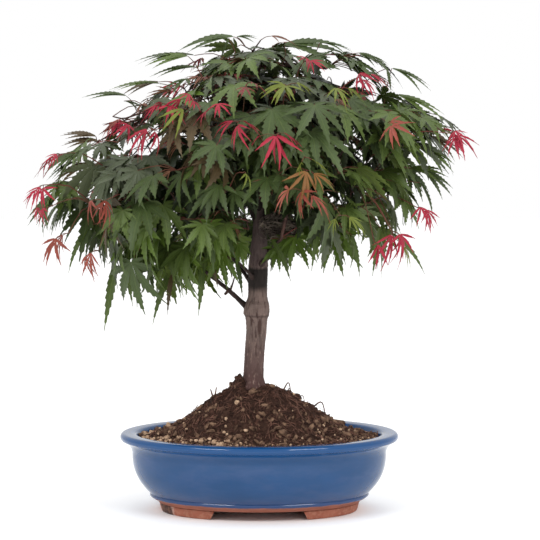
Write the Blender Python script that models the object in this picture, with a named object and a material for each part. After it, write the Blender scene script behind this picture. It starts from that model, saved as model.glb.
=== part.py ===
"""A Japanese maple bonsai in an oval glazed pot, at its real size, in metres with +Z up.

+X is along the pot's long axis and -Y is its front. The pot and its feet are fired clay, the soil
fills the pot and rises in a mound round the trunk's foot, and the trunk stands on the mound with a
flat cut. Boughs leave the trunk at their own heights, and each one carries one mass of foliage.

The tree is built round the middle of the pot's footprint. At the end it is moved as a whole, so
that the origin is on the surface that it stands on, under the middle of its outline from above.
"""

import math
import random
from collections import namedtuple

import bmesh
import bpy
from mathutils import Matrix, Vector
from mathutils.bvhtree import BVHTree

MM = 0.001
CLEARANCE = 0.3 * MM

# Pot: every level is an ellipse, set in by the same distance on all sides from the rim's outline
RIM_HALF_LENGTH = 140 * MM
RIM_HALF_WIDTH = 108 * MM
RIM_TOP = 79 * MM
RIM_ROLL_RADIUS = 4 * MM
RIM_SHELF = 17 * MM
NECK_INSET = 12 * MM
NECK_HEIGHT = 60 * MM
LEDGE_INSET = 30 * MM
LEDGE_TOP = 18.5 * MM
LEDGE_FOOT = 15 * MM
BELLY_POWER = 2.5
WALL = 7.5 * MM
UNDERSIDE_INSET = 38.5 * MM
UNDERSIDE_HEIGHT = 9.3 * MM
FLOOR_HEIGHT = 16 * MM
POT_SIDES = 40

# Drain holes through the pot's floor
DRAIN_HOLE_RADIUS = 9 * MM
DRAIN_HOLE_SPACING = 96 * MM

# Feet: a broken ring under the pot, open at the front and the back
FOOT_TOP_INSET = 39 * MM
FOOT_SPLAY = 2.5 * MM
FOOT_WIDTH = 12 * MM
FOOT_GAP_HALF = 44 * MM
FOOT_END_SLOPE = 4 * MM
FOOT_STEPS = 8

# Soil
SOIL_EDGE_HEIGHT = 73.5 * MM
MOUND_RISE = 52 * MM
MOUND_FLAT_RADIUS = 15 * MM

# Trunk: middle of each level (x, y, z) and radius there, from the flat cut up to the leader's tip
TRUNK_STATIONS_MM = (
    (-6.5, 0, 125.8, 13.5),
    (-6.3, 0, 129, 11.6),
    (-5.6, 0, 137, 10.4),
    (-4.4, 0, 158, 10.2),
    (-3.0, -1, 182, 10.5),
    (-2.5, -1, 193, 11.3),
    (-2.3, -1, 201, 12.3),
    (-2.0, -1, 208, 11.7),
    (-1.6, -1, 217, 10.1),
    (-1.2, 0, 243, 10.2),
    (-0.4, 1, 262, 9.0),
    (0.6, 2, 285, 7.2),
    (1.5, 3, 320, 5.2),
    (0.5, 4, 360, 3.8),
    (-0.5, 4, 432, 2.0),
)
TRUNK_SIDES = 12

# Boughs and twigs
BOUGH_SIDES = 6
BOUGH_STEPS = 5
BOUGH_TIP_RADIUS = 1.7 * MM
BOUGH_ARCH = 0.12
TWIG_TIP_RADIUS = 1.0 * MM
TWIG_ROOT_RADIUS = 0.75 * MM
STEM_LENGTH = 9 * MM
STUB_LENGTH = 4 * MM
TWIG_SIDES = 3
FORK_SHARE = 0.45
SHARPEST_TURN = 0.3
BUD_SPREAD = 1.8

# Leaves: five lobes round the end of the leaf's stalk, as (angle, length) with the middle lobe as 1
LEAF_LENGTH = 56 * MM
LEAF_THICKNESS = 1.6 * MM
LEAF_STALK = 26 * MM
LOBES = ((-84, 0.68), (-41, 0.93), (0, 1.0), (41, 0.93), (84, 0.68))
NOTCH_REACH = 0.44
LEAF_HEEL = (155, 0.07)
LEAF_CURL = 0.16
LENGTH_SHARES = (1, 0.9, 0.8)
LEAVES_PER_SPRAY = 5
LEAF_TRIES = 90
FAN_REACH = 120
FAN_APART = 30

# Crown: how far the leaf tips reach from its axis at each height, in mm: (height, left, right, depth)
CROWN_AXIS = Vector((-8 * MM, 0, 0))
CROWN_REACH_MM = (
    (198, 132, 34, 84),
    (228, 176, 130, 140),
    (257, 207, 168, 170),
    (317, 242, 186, 192),
    (370, 196, 228, 180),
    (400, 156, 194, 156),
    (440, 128, 156, 126),
    (462, 98, 108, 92),
    (480, 60, 66, 56),
)
CROWN_HOLLOW = 0.45
OUTER_POWER = 1.6

# Spaces of the masses: the lower ring is under a sloping layer, and the top is above a level one
LAYER_HEIGHT = 430 * MM
LAYER_SLOPE = 0.5
TOP_FOOT = 434 * MM
CANDIDATES = 12

# Name, ring, direction in degrees, bough's foot on the trunk and its tip (out, height) in mm, its
# radius, sprays, seed
Mass = namedtuple("Mass", "name ring direction foot tip_out tip_height radius sprays seed")
MASSES = (
    Mass("left", "lower", 180, 209, 76, 264, 4.2, 19, 61),
    Mass("front_left", "lower", 240, 227, 56, 266, 3.6, 17, 12),
    Mass("front_right", "lower", 300, 243, 54, 274, 3.6, 18, 13),
    Mass("right", "lower", 0, 254, 58, 284, 4.0, 19, 14),
    Mass("back_right", "lower", 60, 236, 56, 272, 3.6, 14, 15),
    Mass("back_left", "lower", 120, 220, 58, 264, 3.6, 13, 26),
    Mass("upper_left", "upper", 180, 284, 50, 410, 3.4, 14, 17),
    Mass("upper_front", "upper", 270, 296, 46, 411, 3.2, 14, 18),
    Mass("upper_right", "upper", 0, 308, 50, 411, 3.2, 16, 29),
    Mass("upper_back", "upper", 90, 322, 46, 411, 3.0, 14, 20),
    Mass("top", "top", 0, 432, 0, 432, 2.0, 15, 21),
)

POT_BLUE = (0.045, 0.115, 0.30)
CLAY = (0.42, 0.16, 0.085)
EARTH = (0.055, 0.035, 0.025)
BARK = (0.13, 0.095, 0.08)
LEAF_GREEN = (0.055, 0.095, 0.035)


def clear_scene():
    """Takes away whatever the file holds."""
    for found in list(bpy.data.objects):
        bpy.data.objects.remove(found)


def material(name, colour, roughness):
    """A plain finish in one colour."""
    made = bpy.data.materials.new(name)
    made.use_nodes = True
    shader = made.node_tree.nodes["Principled BSDF"]
    shader.inputs["Base Color"].default_value = (*colour, 1)
    shader.inputs["Roughness"].default_value = roughness
    shader.inputs["Metallic"].default_value = 0
    return made


def mesh_object(name, points, faces, finish=None):
    """An object at the origin with that mesh, in the scene."""
    mesh = bpy.data.meshes.new(name)
    mesh.from_pydata([tuple(point) for point in points], [], faces)
    mesh.update()
    if finish:
        mesh.materials.append(finish)
    made = bpy.data.objects.new(name, mesh)
    bpy.context.scene.collection.objects.link(made)
    return made


def smooth(target, degrees=35):
    """Shades the round stretches smooth and keeps the creases."""
    target.data.shade_smooth()
    target.data.set_sharp_from_angle(angle=math.radians(degrees))


def ring_faces(rings, sides):
    """Quads between successive rings of points, and a flat face at each end."""
    faces = [tuple(reversed(range(sides)))]
    for ring in range(rings - 1):
        low = ring * sides
        for side in range(sides):
            after = (side + 1) % sides
            faces.append((low + side, low + after, low + sides + after, low + sides + side))
    faces.append(tuple(range((rings - 1) * sides, rings * sides)))
    return faces


def arc(middle, radius, start, end, steps):
    """Points on a round stretch, with its angles in degrees."""
    turns = [math.radians(start + (end - start) * step / steps) for step in range(steps + 1)]
    return [(middle[0] + radius * math.cos(t), middle[1] + radius * math.sin(t)) for t in turns]


def belly_inset(height):
    """How far the pot's outer wall stands in from the rim's outline, between ledge and neck."""
    share = (NECK_HEIGHT - height) / (NECK_HEIGHT - LEDGE_TOP)
    return NECK_INSET + (LEDGE_INSET - NECK_INSET) * max(share, 0) ** BELLY_POWER


def belly_heights(steps):
    """Levels of the wall, from the ledge up to the neck."""
    return [LEDGE_TOP + (NECK_HEIGHT - LEDGE_TOP) * step / steps for step in range(steps + 1)]


def ellipse_ring(inset, height, sides):
    """Points of the oval at one level of the pot, anticlockwise from above."""
    half_length, half_width = RIM_HALF_LENGTH - inset, RIM_HALF_WIDTH - inset
    turns = [2 * math.pi * side / sides for side in range(sides)]
    return [Vector((half_length * math.cos(t), half_width * math.sin(t), height)) for t in turns]


def pot_outside():
    """Outer half of the pot's section, from its underside up over the rim, as (inset, height)."""
    roll_middle = (-RIM_ROLL_RADIUS, RIM_TOP - RIM_ROLL_RADIUS)
    roll = arc(roll_middle, RIM_ROLL_RADIUS, -50, 90, 4)
    return [
        (UNDERSIDE_INSET, UNDERSIDE_HEIGHT),
        (UNDERSIDE_INSET - 0.8 * MM, UNDERSIDE_HEIGHT + 1.7 * MM),
        (LEDGE_INSET + 0.6 * MM, LEDGE_FOOT),
        *[(belly_inset(height), height) for height in belly_heights(5)],
        (NECK_INSET - 3.2 * MM, NECK_HEIGHT + 6.6 * MM),
        *[(-across, height) for across, height in roll],
        (RIM_SHELF - 1.5 * MM, RIM_TOP - 0.6 * MM),
        (RIM_SHELF, RIM_TOP - 2 * MM),
    ]


def pot_inside():
    """Inner half of the pot's section, from the rim's inner edge down to the floor."""
    wall_heights = [height for height in reversed(belly_heights(5)) if height > FLOOR_HEIGHT + 4 * MM]
    return [
        (NECK_INSET + WALL, RIM_TOP - 9 * MM),
        *[(belly_inset(height) + WALL, height) for height in wall_heights],
        (LEDGE_INSET + WALL + 2 * MM, FLOOR_HEIGHT),
    ]


def build_pot(glaze):
    """The bowl with its rolled rim, hollow inside, with its drain holes bored."""
    section = pot_outside() + pot_inside()
    rings = [ellipse_ring(inset, height, POT_SIDES) for inset, height in section]
    pot = mesh_object("pot", [p for ring in rings for p in ring], ring_faces(len(rings), POT_SIDES), glaze)
    for side in (-1, 1):
        bpy.ops.mesh.primitive_cylinder_add(
            vertices=16,
            radius=DRAIN_HOLE_RADIUS,
            depth=4 * FLOOR_HEIGHT,
            location=(side * DRAIN_HOLE_SPACING / 2, 0, 0),
        )
        drill = bpy.context.object
        drill.name = f"drill_{side}"
        drill.hide_render = True
        drill.display_type = "WIRE"
        bore = pot.modifiers.new("drain hole", "BOOLEAN")
        bore.operation = "DIFFERENCE"
        bore.solver = "EXACT"
        bore.object = drill
    smooth(pot)


def foot_outline(height_share, inset):
    """Points along one foot's quarter of the ring, at that share of its height above the ground."""
    inset = inset + FOOT_SPLAY * (1 - height_share)
    half_length, half_width = RIM_HALF_LENGTH - inset, RIM_HALF_WIDTH - inset
    gap = FOOT_GAP_HALF + FOOT_END_SLOPE * (1 - height_share)
    last = math.acos(gap / half_length)
    first = math.asin(CLEARANCE / 2 / half_width)
    turns = [first + (last - first) * step / FOOT_STEPS for step in range(FOOT_STEPS + 1)]
    return [Vector((half_length * math.cos(t), half_width * math.sin(t), 0)) for t in turns]


def build_foot(name, side_x, side_y, clay):
    """One quarter of the foot ring, its outer side splayed and its open end sloped."""
    top = UNDERSIDE_HEIGHT - CLEARANCE
    points = []
    for share, height in ((0, 0), (1, top)):
        outer = foot_outline(share, FOOT_TOP_INSET)
        inner = foot_outline(share, FOOT_TOP_INSET + FOOT_WIDTH)
        for place in outer + inner[::-1]:
            points.append((side_x * place.x, side_y * place.y, height))
    faces = ring_faces(2, 2 * (FOOT_STEPS + 1))
    if side_x * side_y < 0:
        faces = [face[::-1] for face in faces]
    smooth(mesh_object(name, points, faces, clay))


def soil_rings():
    """The soil's levels: up the pot's inner wall, then in over the mound to the trunk's foot."""
    foot = Vector(TRUNK_STATIONS_MM[0][:3]) * MM
    rings = []
    for inset, height in reversed(pot_inside()):
        rings.append(ellipse_ring(inset + CLEARANCE, height + CLEARANCE, POT_SIDES))
    edge = ellipse_ring(NECK_INSET + WALL - 0.6 * MM, SOIL_EDGE_HEIGHT, POT_SIDES)
    for share in (1, 0.8, 0.6, 0.42, 0.26):
        height = SOIL_EDGE_HEIGHT + MOUND_RISE * (0.5 + 0.5 * math.cos(math.pi * share))
        ring = [foot + (place - foot) * share for place in edge]
        rings.append([Vector((place.x, place.y, height)) for place in ring])
    flat = [(place - foot).to_2d().normalized() * MOUND_FLAT_RADIUS for place in edge]
    top = SOIL_EDGE_HEIGHT + MOUND_RISE
    rings.append([Vector((foot.x + place.x, foot.y + place.y, top)) for place in flat])
    return rings


def build_soil(earth):
    """The soil in the pot and the mound that it rises to."""
    rings = soil_rings()
    points = [place for ring in rings for place in ring]
    smooth(mesh_object("soil_mound", points, ring_faces(len(rings), POT_SIDES), earth))


def tube(path, radii, sides):
    """Points and faces of a round limb along a path, its rings turned no more than the path turns."""
    points = []
    ahead = (path[1] - path[0]).normalized()
    across = ahead.orthogonal().normalized()
    for place, (middle, radius) in enumerate(zip(path, radii)):
        before, after = path[max(place - 1, 0)], path[min(place + 1, len(path) - 1)]
        turned = (after - before).normalized()
        across = (across - turned * across.dot(turned)).normalized()
        other = turned.cross(across)
        for side in range(sides):
            t = 2 * math.pi * side / sides
            points.append(middle + (across * math.cos(t) + other * math.sin(t)) * radius)
    return points, ring_faces(len(path), sides)


def trunk_tube(extra):
    """The trunk's tube, with its radius grown by extra and its foot level."""
    path = [Vector(station[:3]) * MM for station in TRUNK_STATIONS_MM]
    radii = [station[3] * MM + extra for station in TRUNK_STATIONS_MM]
    points, faces = tube(path, radii, TRUNK_SIDES)
    for point in points[:TRUNK_SIDES]:
        point.z = path[0].z
    return points, faces


def trunk_middle(height):
    """The middle of the trunk at that height."""
    places = [Vector(station[:3]) * MM for station in TRUNK_STATIONS_MM]
    for low, high in zip(places, places[1:]):
        if low.z <= height <= high.z:
            return low.lerp(high, (height - low.z) / (high.z - low.z))
    return places[-1]


def bough_path(mass):
    """The bough's middle line: a curve that leaves the trunk rising and flattens towards its mass."""
    start, turn = trunk_middle(mass.foot * MM), math.radians(mass.direction)
    end = CROWN_AXIS + Vector((math.cos(turn), math.sin(turn), 0)) * mass.tip_out * MM
    end.z = mass.tip_height * MM
    rise = end - start
    bend = start + rise * 0.5 + Vector((0, 0, BOUGH_ARCH * rise.length))
    path = []
    for step in range(BOUGH_STEPS + 1):
        t = step / BOUGH_STEPS
        path.append(start * (1 - t) ** 2 + bend * (2 * t * (1 - t)) + end * t**2)
    return path


def build_bough(mass, bark, cutter):
    """One tapering bough, cut back where it meets the trunk. Returns a thicker one, for tests."""
    path = bough_path(mass)
    base = mass.radius * MM
    radii = [base + (BOUGH_TIP_RADIUS - base) * step / BOUGH_STEPS for step in range(BOUGH_STEPS + 1)]
    points, faces = tube(path, radii, BOUGH_SIDES)
    bough = mesh_object(f"bough_{mass.name}", points, faces, bark)
    seat = bough.modifiers.new("seat on trunk", "BOOLEAN")
    seat.operation = "DIFFERENCE"
    seat.solver = "EXACT"
    seat.object = cutter
    smooth(bough)
    return tube(path, [radius + 2 * CLEARANCE for radius in radii], BOUGH_SIDES)


def owner(place):
    """The mass in whose space a place is."""
    out = place - CROWN_AXIS
    ring = "top" if place.z > TOP_FOOT else "upper"
    if place.z + LAYER_SLOPE * out.to_2d().length < LAYER_HEIGHT:
        ring = "lower"
    heading = math.atan2(out.y, out.x)
    return max(
        [mass for mass in MASSES if mass.ring == ring],
        key=lambda mass: math.cos(heading - math.radians(mass.direction)),
    )


def crown_reach(turn, height):
    """How far leaf tips reach from the crown's axis in that direction at that height."""
    rows = CROWN_REACH_MM
    level = min(max(height / MM, rows[0][0]), rows[-1][0])
    for low, high in zip(rows, rows[1:]):
        if low[0] <= level <= high[0]:
            share = (level - low[0]) / (high[0] - low[0])
            left, right, depth = [low[i] + (high[i] - low[i]) * share for i in (1, 2, 3)]
            side = right if math.cos(turn) > 0 else left
            return MM / math.hypot(math.cos(turn) / side, math.sin(turn) / depth)


def in_crown(place):
    """Whether a place is inside the crown's outline."""
    out = (place - CROWN_AXIS).to_2d()
    if not CROWN_REACH_MM[0][0] * MM < place.z < CROWN_REACH_MM[-1][0] * MM:
        return False
    return out.length < crown_reach(math.atan2(out.y, out.x), place.z) + 4 * MM


def droop(height):
    """How far leaves hang below level at that height, in radians: flat on top, steep at the foot."""
    share = (height - 225 * MM) / (245 * MM)
    return math.radians(4 + 78 * (1 - min(max(share, 0), 1)) ** 1.15)


def random_site(rng):
    """A place for a spray, and the leaf tip inside the crown's outline that is outwards from it."""
    turn = rng.uniform(-math.pi, math.pi)
    height = rng.uniform(CROWN_REACH_MM[0][0], CROWN_REACH_MM[-1][0]) * MM
    down, run = droop(height), LEAF_STALK + LEAF_LENGTH
    away = Vector((math.cos(turn), math.sin(turn), 0))
    reach = crown_reach(turn, height) * (1 - (1 - CROWN_HOLLOW) * rng.random() ** OUTER_POWER)
    tip = CROWN_AXIS + away * reach + Vector((0, 0, height))
    rise = min(run * math.sin(down), CROWN_REACH_MM[-1][0] * MM - 3 * MM - height)
    return tip - away * min(run * math.cos(down), reach) + Vector((0, 0, rise)), tip


def spray_sites(mass):
    """Evenly spread places in the mass's space: each is the furthest off of some random ones."""
    rng, sites = random.Random(mass.seed), []
    while len(sites) < mass.sprays:
        best, best_apart = None, -1
        tried = 0
        while tried < CANDIDATES:
            place, tip = random_site(rng)
            if owner(place) is not mass or owner(place.lerp(tip, 0.6)) is not mass:
                continue
            tried += 1
            apart = min([(place - site).length for site in sites], default=1)
            if apart > best_apart:
                best, best_apart = place, apart
        sites.append(best)
    return sites


def split(sites, start):
    """Two groups of sites, parted across the direction in which they spread most from the fork."""
    middle = sum(sites, Vector()) / len(sites)
    along = (middle - start).normalized()
    spread = max((site - middle for site in sites), key=lambda v: (v - along * v.dot(along)).length)
    axis = (spread - along * spread.dot(along)).normalized()
    ordered = sorted(sites, key=lambda site: (site - middle).dot(axis))
    half = len(ordered) // 2
    return ordered[:half], ordered[half:]


def carry_on(path, radii, place, radius, twigs):
    """The twig with one more place, or a new one from its end where the turn would be too sharp."""
    if len(path) > 1:
        along = (path[-1] - path[-2]).normalized()
        if along.dot((place - path[-1]).normalized()) < SHARPEST_TURN:
            twigs.append(([*path, path[-1] + along * STUB_LENGTH], [*radii, TWIG_TIP_RADIUS], False))
            return [path[-1], place], [TWIG_ROOT_RADIUS, radius]
    return [*path, place], [*radii, radius]


def grow_twigs(path, radii, sites, total, twigs):
    """Carries the twig on to one of its sites, and grows a side twig at each fork on the way.

    Each twig is listed as its path, its radii, and whether its end has leaves.
    """
    while len(sites) > 1:
        near, far = sorted(split(sites, path[-1]), key=len)
        fork = path[-1].lerp(sum(sites, Vector()) / len(sites), FORK_SHARE)
        carried = TWIG_TIP_RADIUS + (BOUGH_TIP_RADIUS - TWIG_TIP_RADIUS) * math.sqrt(len(sites) / total)
        path, radii = carry_on(path, radii, fork, carried, twigs)
        grow_twigs([fork], [TWIG_ROOT_RADIUS], near, total, twigs)
        sites = far
    path, radii = carry_on(path, radii, sites[0], TWIG_TIP_RADIUS, twigs)
    twigs.append((path, radii, True))


def leaf_outline(length):
    """The blade's edge in its own plane: lobe tips with a notch between each two, and its heel."""
    angle, reach = LEAF_HEEL
    outline = [(-angle, reach)]
    for place, (angle, reach) in enumerate(LOBES):
        outline.append((angle, reach))
        if place < len(LOBES) - 1:
            after = LOBES[place + 1]
            outline.append(((angle + after[0]) / 2, NOTCH_REACH * (reach + after[1]) / 2))
    outline.append(LEAF_HEEL)
    points = []
    for angle, reach in outline:
        t = math.radians(angle)
        points.append(Vector((reach * math.cos(t), reach * math.sin(t), -LEAF_CURL * reach**3)) * length)
    return points


def blade_mesh(base, pose, length, margin=0):
    """A closed blade: its outline joined to a point below the stalk's end and to one above it."""
    half = Vector((0, 0, LEAF_THICKNESS / 2 + margin))
    points = [base + pose @ point for point in [*leaf_outline(length + margin), -half, half]]
    rim = len(points) - 2
    faces = []
    for edge in range(rim):
        after = (edge + 1) % rim
        faces.append((after, edge, rim))
        faces.append((edge, after, rim + 1))
    return points, faces


def ahead_of(turn, down):
    """The direction at that turn, and that far below level."""
    return Vector((math.cos(turn) * math.cos(down), math.sin(turn) * math.cos(down), -math.sin(down)))


def leaf_pose(turn, down, roll):
    """The blade's axes as a matrix: it points outwards at that turn and hangs by that much."""
    ahead = ahead_of(turn, down)
    across = Matrix.Rotation(roll, 3, ahead) @ Vector((-math.sin(turn), math.cos(turn), 0))
    return Matrix((ahead, across, ahead.cross(across))).transposed()


def arm_faces(near, far):
    """Three faces between the near and the far end of an arm, each given as (top, right, left)."""
    top, right, left = near
    far_top, far_right, far_left = far
    return [
        (far_left, far_right, right, left),
        (far_right, far_top, top, right),
        (far_top, far_left, left, top),
    ]


def spray_frame(path):
    """A spray's level heading, and its own ahead, left and up, from the way that its twig runs."""
    along = (path[-1] - path[-2]).normalized()
    out = (path[-1] - CROWN_AXIS).to_2d()
    level = along.to_2d() + 0.35 * out / max(out.length, MM)
    heading = math.atan2(level.y, level.x)
    ahead = (ahead_of(heading, 0) + along).normalized()
    left = Vector((0, 0, 1)).cross(ahead).normalized()
    return heading, ahead, left, ahead.cross(left)


def twig_ring(middle, away, radius):
    """Top, right and left point of a three-sided twig that runs in the direction away."""
    across = away.cross(Vector((0, 0, 1))).normalized()
    up = across.cross(away)
    low = middle - up * 0.5 * radius
    return [middle + up * radius, low + across * 0.87 * radius, low - across * 0.87 * radius]


def spray_mesh(path, radii, leaves):
    """A twig with the leaves at its end as one closed skin, from its root to its leaf tips.

    At the twig's end every arm shares one upper point, and shares a side point with each arm next
    to it. The twig is the arm at half a turn, and each leaf is (fan angle, base, pose, length).
    """
    site, (_, ahead, left, up) = path[-1], spray_frame(path)
    angles = [-math.pi, *[fan for fan, *_ in leaves], math.pi]
    points = [site + up * TWIG_TIP_RADIUS]
    for low, high in zip(angles, angles[1:]):
        t = (low + high) / 2
        side = (ahead * math.cos(t) + left * math.sin(t)) * BUD_SPREAD - up * 0.6
        points.append(site + side * TWIG_TIP_RADIUS)
    sides = len(points) - 1
    faces = [tuple(range(sides, 0, -1))] if sides > 2 else []
    for number, (_, base, pose, length) in enumerate(leaves):
        blade, blade_faces = blade_mesh(base, pose, length)
        first = len(points)
        above, right, left_heel = len(blade) - 1, 0, len(blade) - 3
        blade_faces.remove((left_heel, right, above))
        points += blade
        faces += [tuple(first + corner for corner in face) for face in blade_faces]
        near = (0, number + 1, number + 2)
        faces += arm_faces(near, (first + above, first + right, first + left_heel))
    near = (0, sides, 1)
    for place in range(len(path) - 2, -1, -1):
        away = (path[max(place - 1, 0)] - path[place + 1]).normalized()
        first = len(points)
        points += twig_ring(path[place], away, radii[place])
        faces += arm_faces(near, (first, first + 1, first + 2))
        near = (first, first + 1, first + 2)
    faces.append((near[1], near[2], near[0]))
    return points, faces


def fitted_blade(base, pose, longest):
    """The longest blade from there that stays inside the crown's outline, and its length, if any."""
    for share in LENGTH_SHARES:
        blade = blade_mesh(base, pose, share * longest, 2 * CLEARANCE)
        if all(in_crown(point) for point in blade[0]):
            return blade, share * longest
    return None, 0


def touches(piece, taken, but=None):
    """Whether a piece, as points and faces, touches what is there, but for the things of one mass."""
    tree = BVHTree.FromPolygons(*piece)
    return any(tree.overlap(other) for whose, other in taken if whose != but or but is None)


def spray_leaves(mass, path, rng, taken, roots):
    """The leaves at a twig's end. A leaf whose middle would leave the mass's space is left out.

    What is taken keeps every leaf off, and the stalks' thick roots keep those of other masses off.
    """
    site, (heading, ahead, left, _) = path[-1], spray_frame(path)
    outward = math.atan2(site.y - CROWN_AXIS.y, site.x - CROWN_AXIS.x)
    leaves = []
    for _ in range(LEAF_TRIES):
        fan = math.radians(rng.uniform(-FAN_REACH, FAN_REACH))
        length = LEAF_LENGTH * rng.uniform(0.9, 1.2)
        stalk = LEAF_STALK * rng.uniform(0.5, 1.5)
        down = droop(site.z - 0.5 * (length + stalk)) * rng.uniform(0.75, 1.25)
        reach = ahead_of(heading + fan, 0.4 * down - rng.uniform(0, 0.35))
        base = site + reach * stalk
        bend = (outward - heading - fan + math.pi) % (2 * math.pi) - math.pi
        turn = heading + fan + min(max(bend, -0.9), 0.9) * rng.random()
        pose = leaf_pose(turn, down, rng.uniform(-0.4, 0.4))
        if any(abs(fan - other) < math.radians(FAN_APART) for other, *_ in leaves):
            continue
        if reach.dot(ahead * math.cos(fan) + left * math.sin(fan)) < 0.4 or reach.dot(pose.col[0]) < 0.5:
            continue
        blade, length = fitted_blade(base, pose, length)
        if not blade:
            continue
        if owner(base) is not mass or owner(base + pose @ Vector((0.5 * length, 0, 0))) is not mass:
            continue
        root = tube([site, base], [2.4 * TWIG_TIP_RADIUS] * 2, 4)
        rod = tube([site.lerp(base, 0.25), base], [1.5 * TWIG_TIP_RADIUS] * 2, TWIG_SIDES)
        if touches(blade, taken) or touches(rod, taken) or touches(root, taken, mass.name):
            continue
        if touches(blade, roots, mass.name) or touches(rod, roots, mass.name):
            continue
        roots.append((mass.name, BVHTree.FromPolygons(*root)))
        taken += [(mass.name, BVHTree.FromPolygons(*blade)), (mass.name, BVHTree.FromPolygons(*rod))]
        leaves.append((fan, base, pose, length))
        if len(leaves) == LEAVES_PER_SPRAY:
            break
    return sorted(leaves, key=lambda leaf: leaf[0])


def keep_largest_shell(target):
    """Fills the hollows that a union has sealed and drops loose scraps: one shell stays."""
    shape = bmesh.new()
    shape.from_mesh(target.data)
    bmesh.ops.triangulate(shape, faces=shape.faces)
    left, shells = set(shape.faces), []
    while left:
        edge = [left.pop()]
        shell = set(edge)
        while edge:
            rims = {link for face in edge for link in face.edges if len(link.link_faces) == 2}
            beside = {face for link in rims for face in link.link_faces}
            edge = list(beside - shell)
            shell |= beside
        left -= shell
        shells.append(shell)
    shells.sort(key=len)
    scraps = [face for shell in shells[:-1] for face in shell]
    bmesh.ops.delete(shape, geom=scraps, context="FACES")
    shape.to_mesh(target.data)
    shape.free()


def fuse(name, parts, finish):
    """One Boolean union of all the parts, as one object."""
    whole = mesh_object(name, *parts[0], finish)
    pieces = bpy.data.collections.new(f"parts of {name}")
    bpy.context.scene.collection.children.link(pieces)
    for number, (points, faces) in enumerate(parts[1:]):
        piece = mesh_object(f"{name} part {number}", points, faces)
        bpy.context.scene.collection.objects.unlink(piece)
        pieces.objects.link(piece)
    union = whole.modifiers.new("union", "BOOLEAN")
    union.operation = "UNION"
    union.operand_type = "COLLECTION"
    union.solver = "MANIFOLD"
    union.collection = pieces
    bpy.context.view_layer.objects.active = whole
    bpy.ops.object.modifier_apply(modifier="union")
    for piece in list(pieces.objects):
        bpy.data.objects.remove(piece)
    bpy.data.collections.remove(pieces)
    keep_largest_shell(whole)
    return whole


def stem_of(mass):
    """The two ends of the mass's stem, which starts just clear of its bough's or the trunk's tip."""
    if mass.ring == "top":
        ahead, end = Vector((0, 0, 1)), Vector(TRUNK_STATIONS_MM[-1][:3]) * MM
    else:
        path = bough_path(mass)
        ahead, end = (path[-1] - path[-2]).normalized(), path[-1]
    start = end + ahead * CLEARANCE
    return [start, start + ahead * STEM_LENGTH]


def mass_twigs(mass, taken):
    """The mass's twigs, less the sites that they can't reach clear of what is there already."""
    sites = spray_sites(mass)
    while True:
        twigs = []
        grow_twigs(stem_of(mass), [BOUGH_TIP_RADIUS] * 2, sites, len(sites), twigs)
        rods = [tube(path, [radius + 2 * CLEARANCE for radius in radii], TWIG_SIDES)
                for path, radii, _ in twigs]
        hits = [path for (path, _, _), rod in zip(twigs, rods) if touches(rod, taken)]
        if not hits:
            taken += [(mass.name, BVHTree.FromPolygons(*rod)) for rod in rods]
            return twigs
        sites.remove(min(sites, key=lambda site: (site - hits[0][-1]).length))


def build_mass(mass, twigs, taken, roots, green):
    """One mass of foliage: its twigs, with the leaves that fit at their ends."""
    rng = random.Random(100 + mass.seed)
    parts = []
    for path, radii, leafy in reversed(twigs):
        leaves = spray_leaves(mass, path, rng, taken, roots) if leafy else []
        if leaves:
            parts.append(spray_mesh(path, radii, leaves))
        elif len(path) > 2:
            stub = path[-2] + (path[-1] - path[-2]).normalized() * STUB_LENGTH
            parts.append(tube([*path[:-1], stub], radii, TWIG_SIDES))
    fuse(f"foliage_{mass.name}", parts, green)


def centre_over_origin():
    """Moves everything level, so that the origin is under the middle of the crown's box."""
    masses = [found for found in bpy.data.objects if found.name.startswith("foliage_")]
    points = [corner.co for mass in masses for corner in mass.data.vertices]
    middle = [(min(p[axis] for p in points) + max(p[axis] for p in points)) / 2 for axis in (0, 1)]
    shift = Matrix.Translation((-middle[0], -middle[1], 0))
    for found in bpy.data.objects:
        found.data.transform(shift)


def main():
    clear_scene()
    glaze = material("blue glaze", POT_BLUE, 0.12)
    clay = material("bare clay", CLAY, 0.8)
    earth = material("earth", EARTH, 0.95)
    bark = material("bark", BARK, 0.85)
    green = material("leaf green", LEAF_GREEN, 0.5)
    build_pot(glaze)
    for end, side_x in (("left", -1), ("right", 1)):
        for face, side_y in (("front", -1), ("back", 1)):
            build_foot(f"foot_{face}_{end}", side_x, side_y, clay)
    build_soil(earth)
    smooth(mesh_object("trunk", *trunk_tube(0), bark))
    cutter = mesh_object("trunk cutter", *trunk_tube(CLEARANCE))
    cutter.hide_render = True
    cutter.display_type = "WIRE"
    limbs = [trunk_tube(2 * CLEARANCE)]
    limbs += [build_bough(mass, bark, cutter) for mass in MASSES if mass.ring != "top"]
    taken = [("limb", BVHTree.FromPolygons(*limb)) for limb in limbs]
    skeletons = [mass_twigs(mass, taken) for mass in MASSES]
    roots = []
    for mass, twigs in zip(MASSES, skeletons):
        build_mass(mass, twigs, taken, roots, green)
    centre_over_origin()


main()
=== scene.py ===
"""The looks of a Japanese maple bonsai in an oval glazed pot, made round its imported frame.

Everything is worked out round the middle of the pot's footprint, in metres with +Z up, and HOME
moves it into the frame. The pot, the trunk and the boughs are surfaces from a section or a path.
Twigs and leaves grow on from the boughs' tips by a seeded rule, inside the crown's outline.
"""

import math
import random
from itertools import product

import bpy
import numpy as np
from bpy.props import FloatProperty, FloatVectorProperty, IntProperty, PointerProperty
from mathutils import Matrix, Vector


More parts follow.
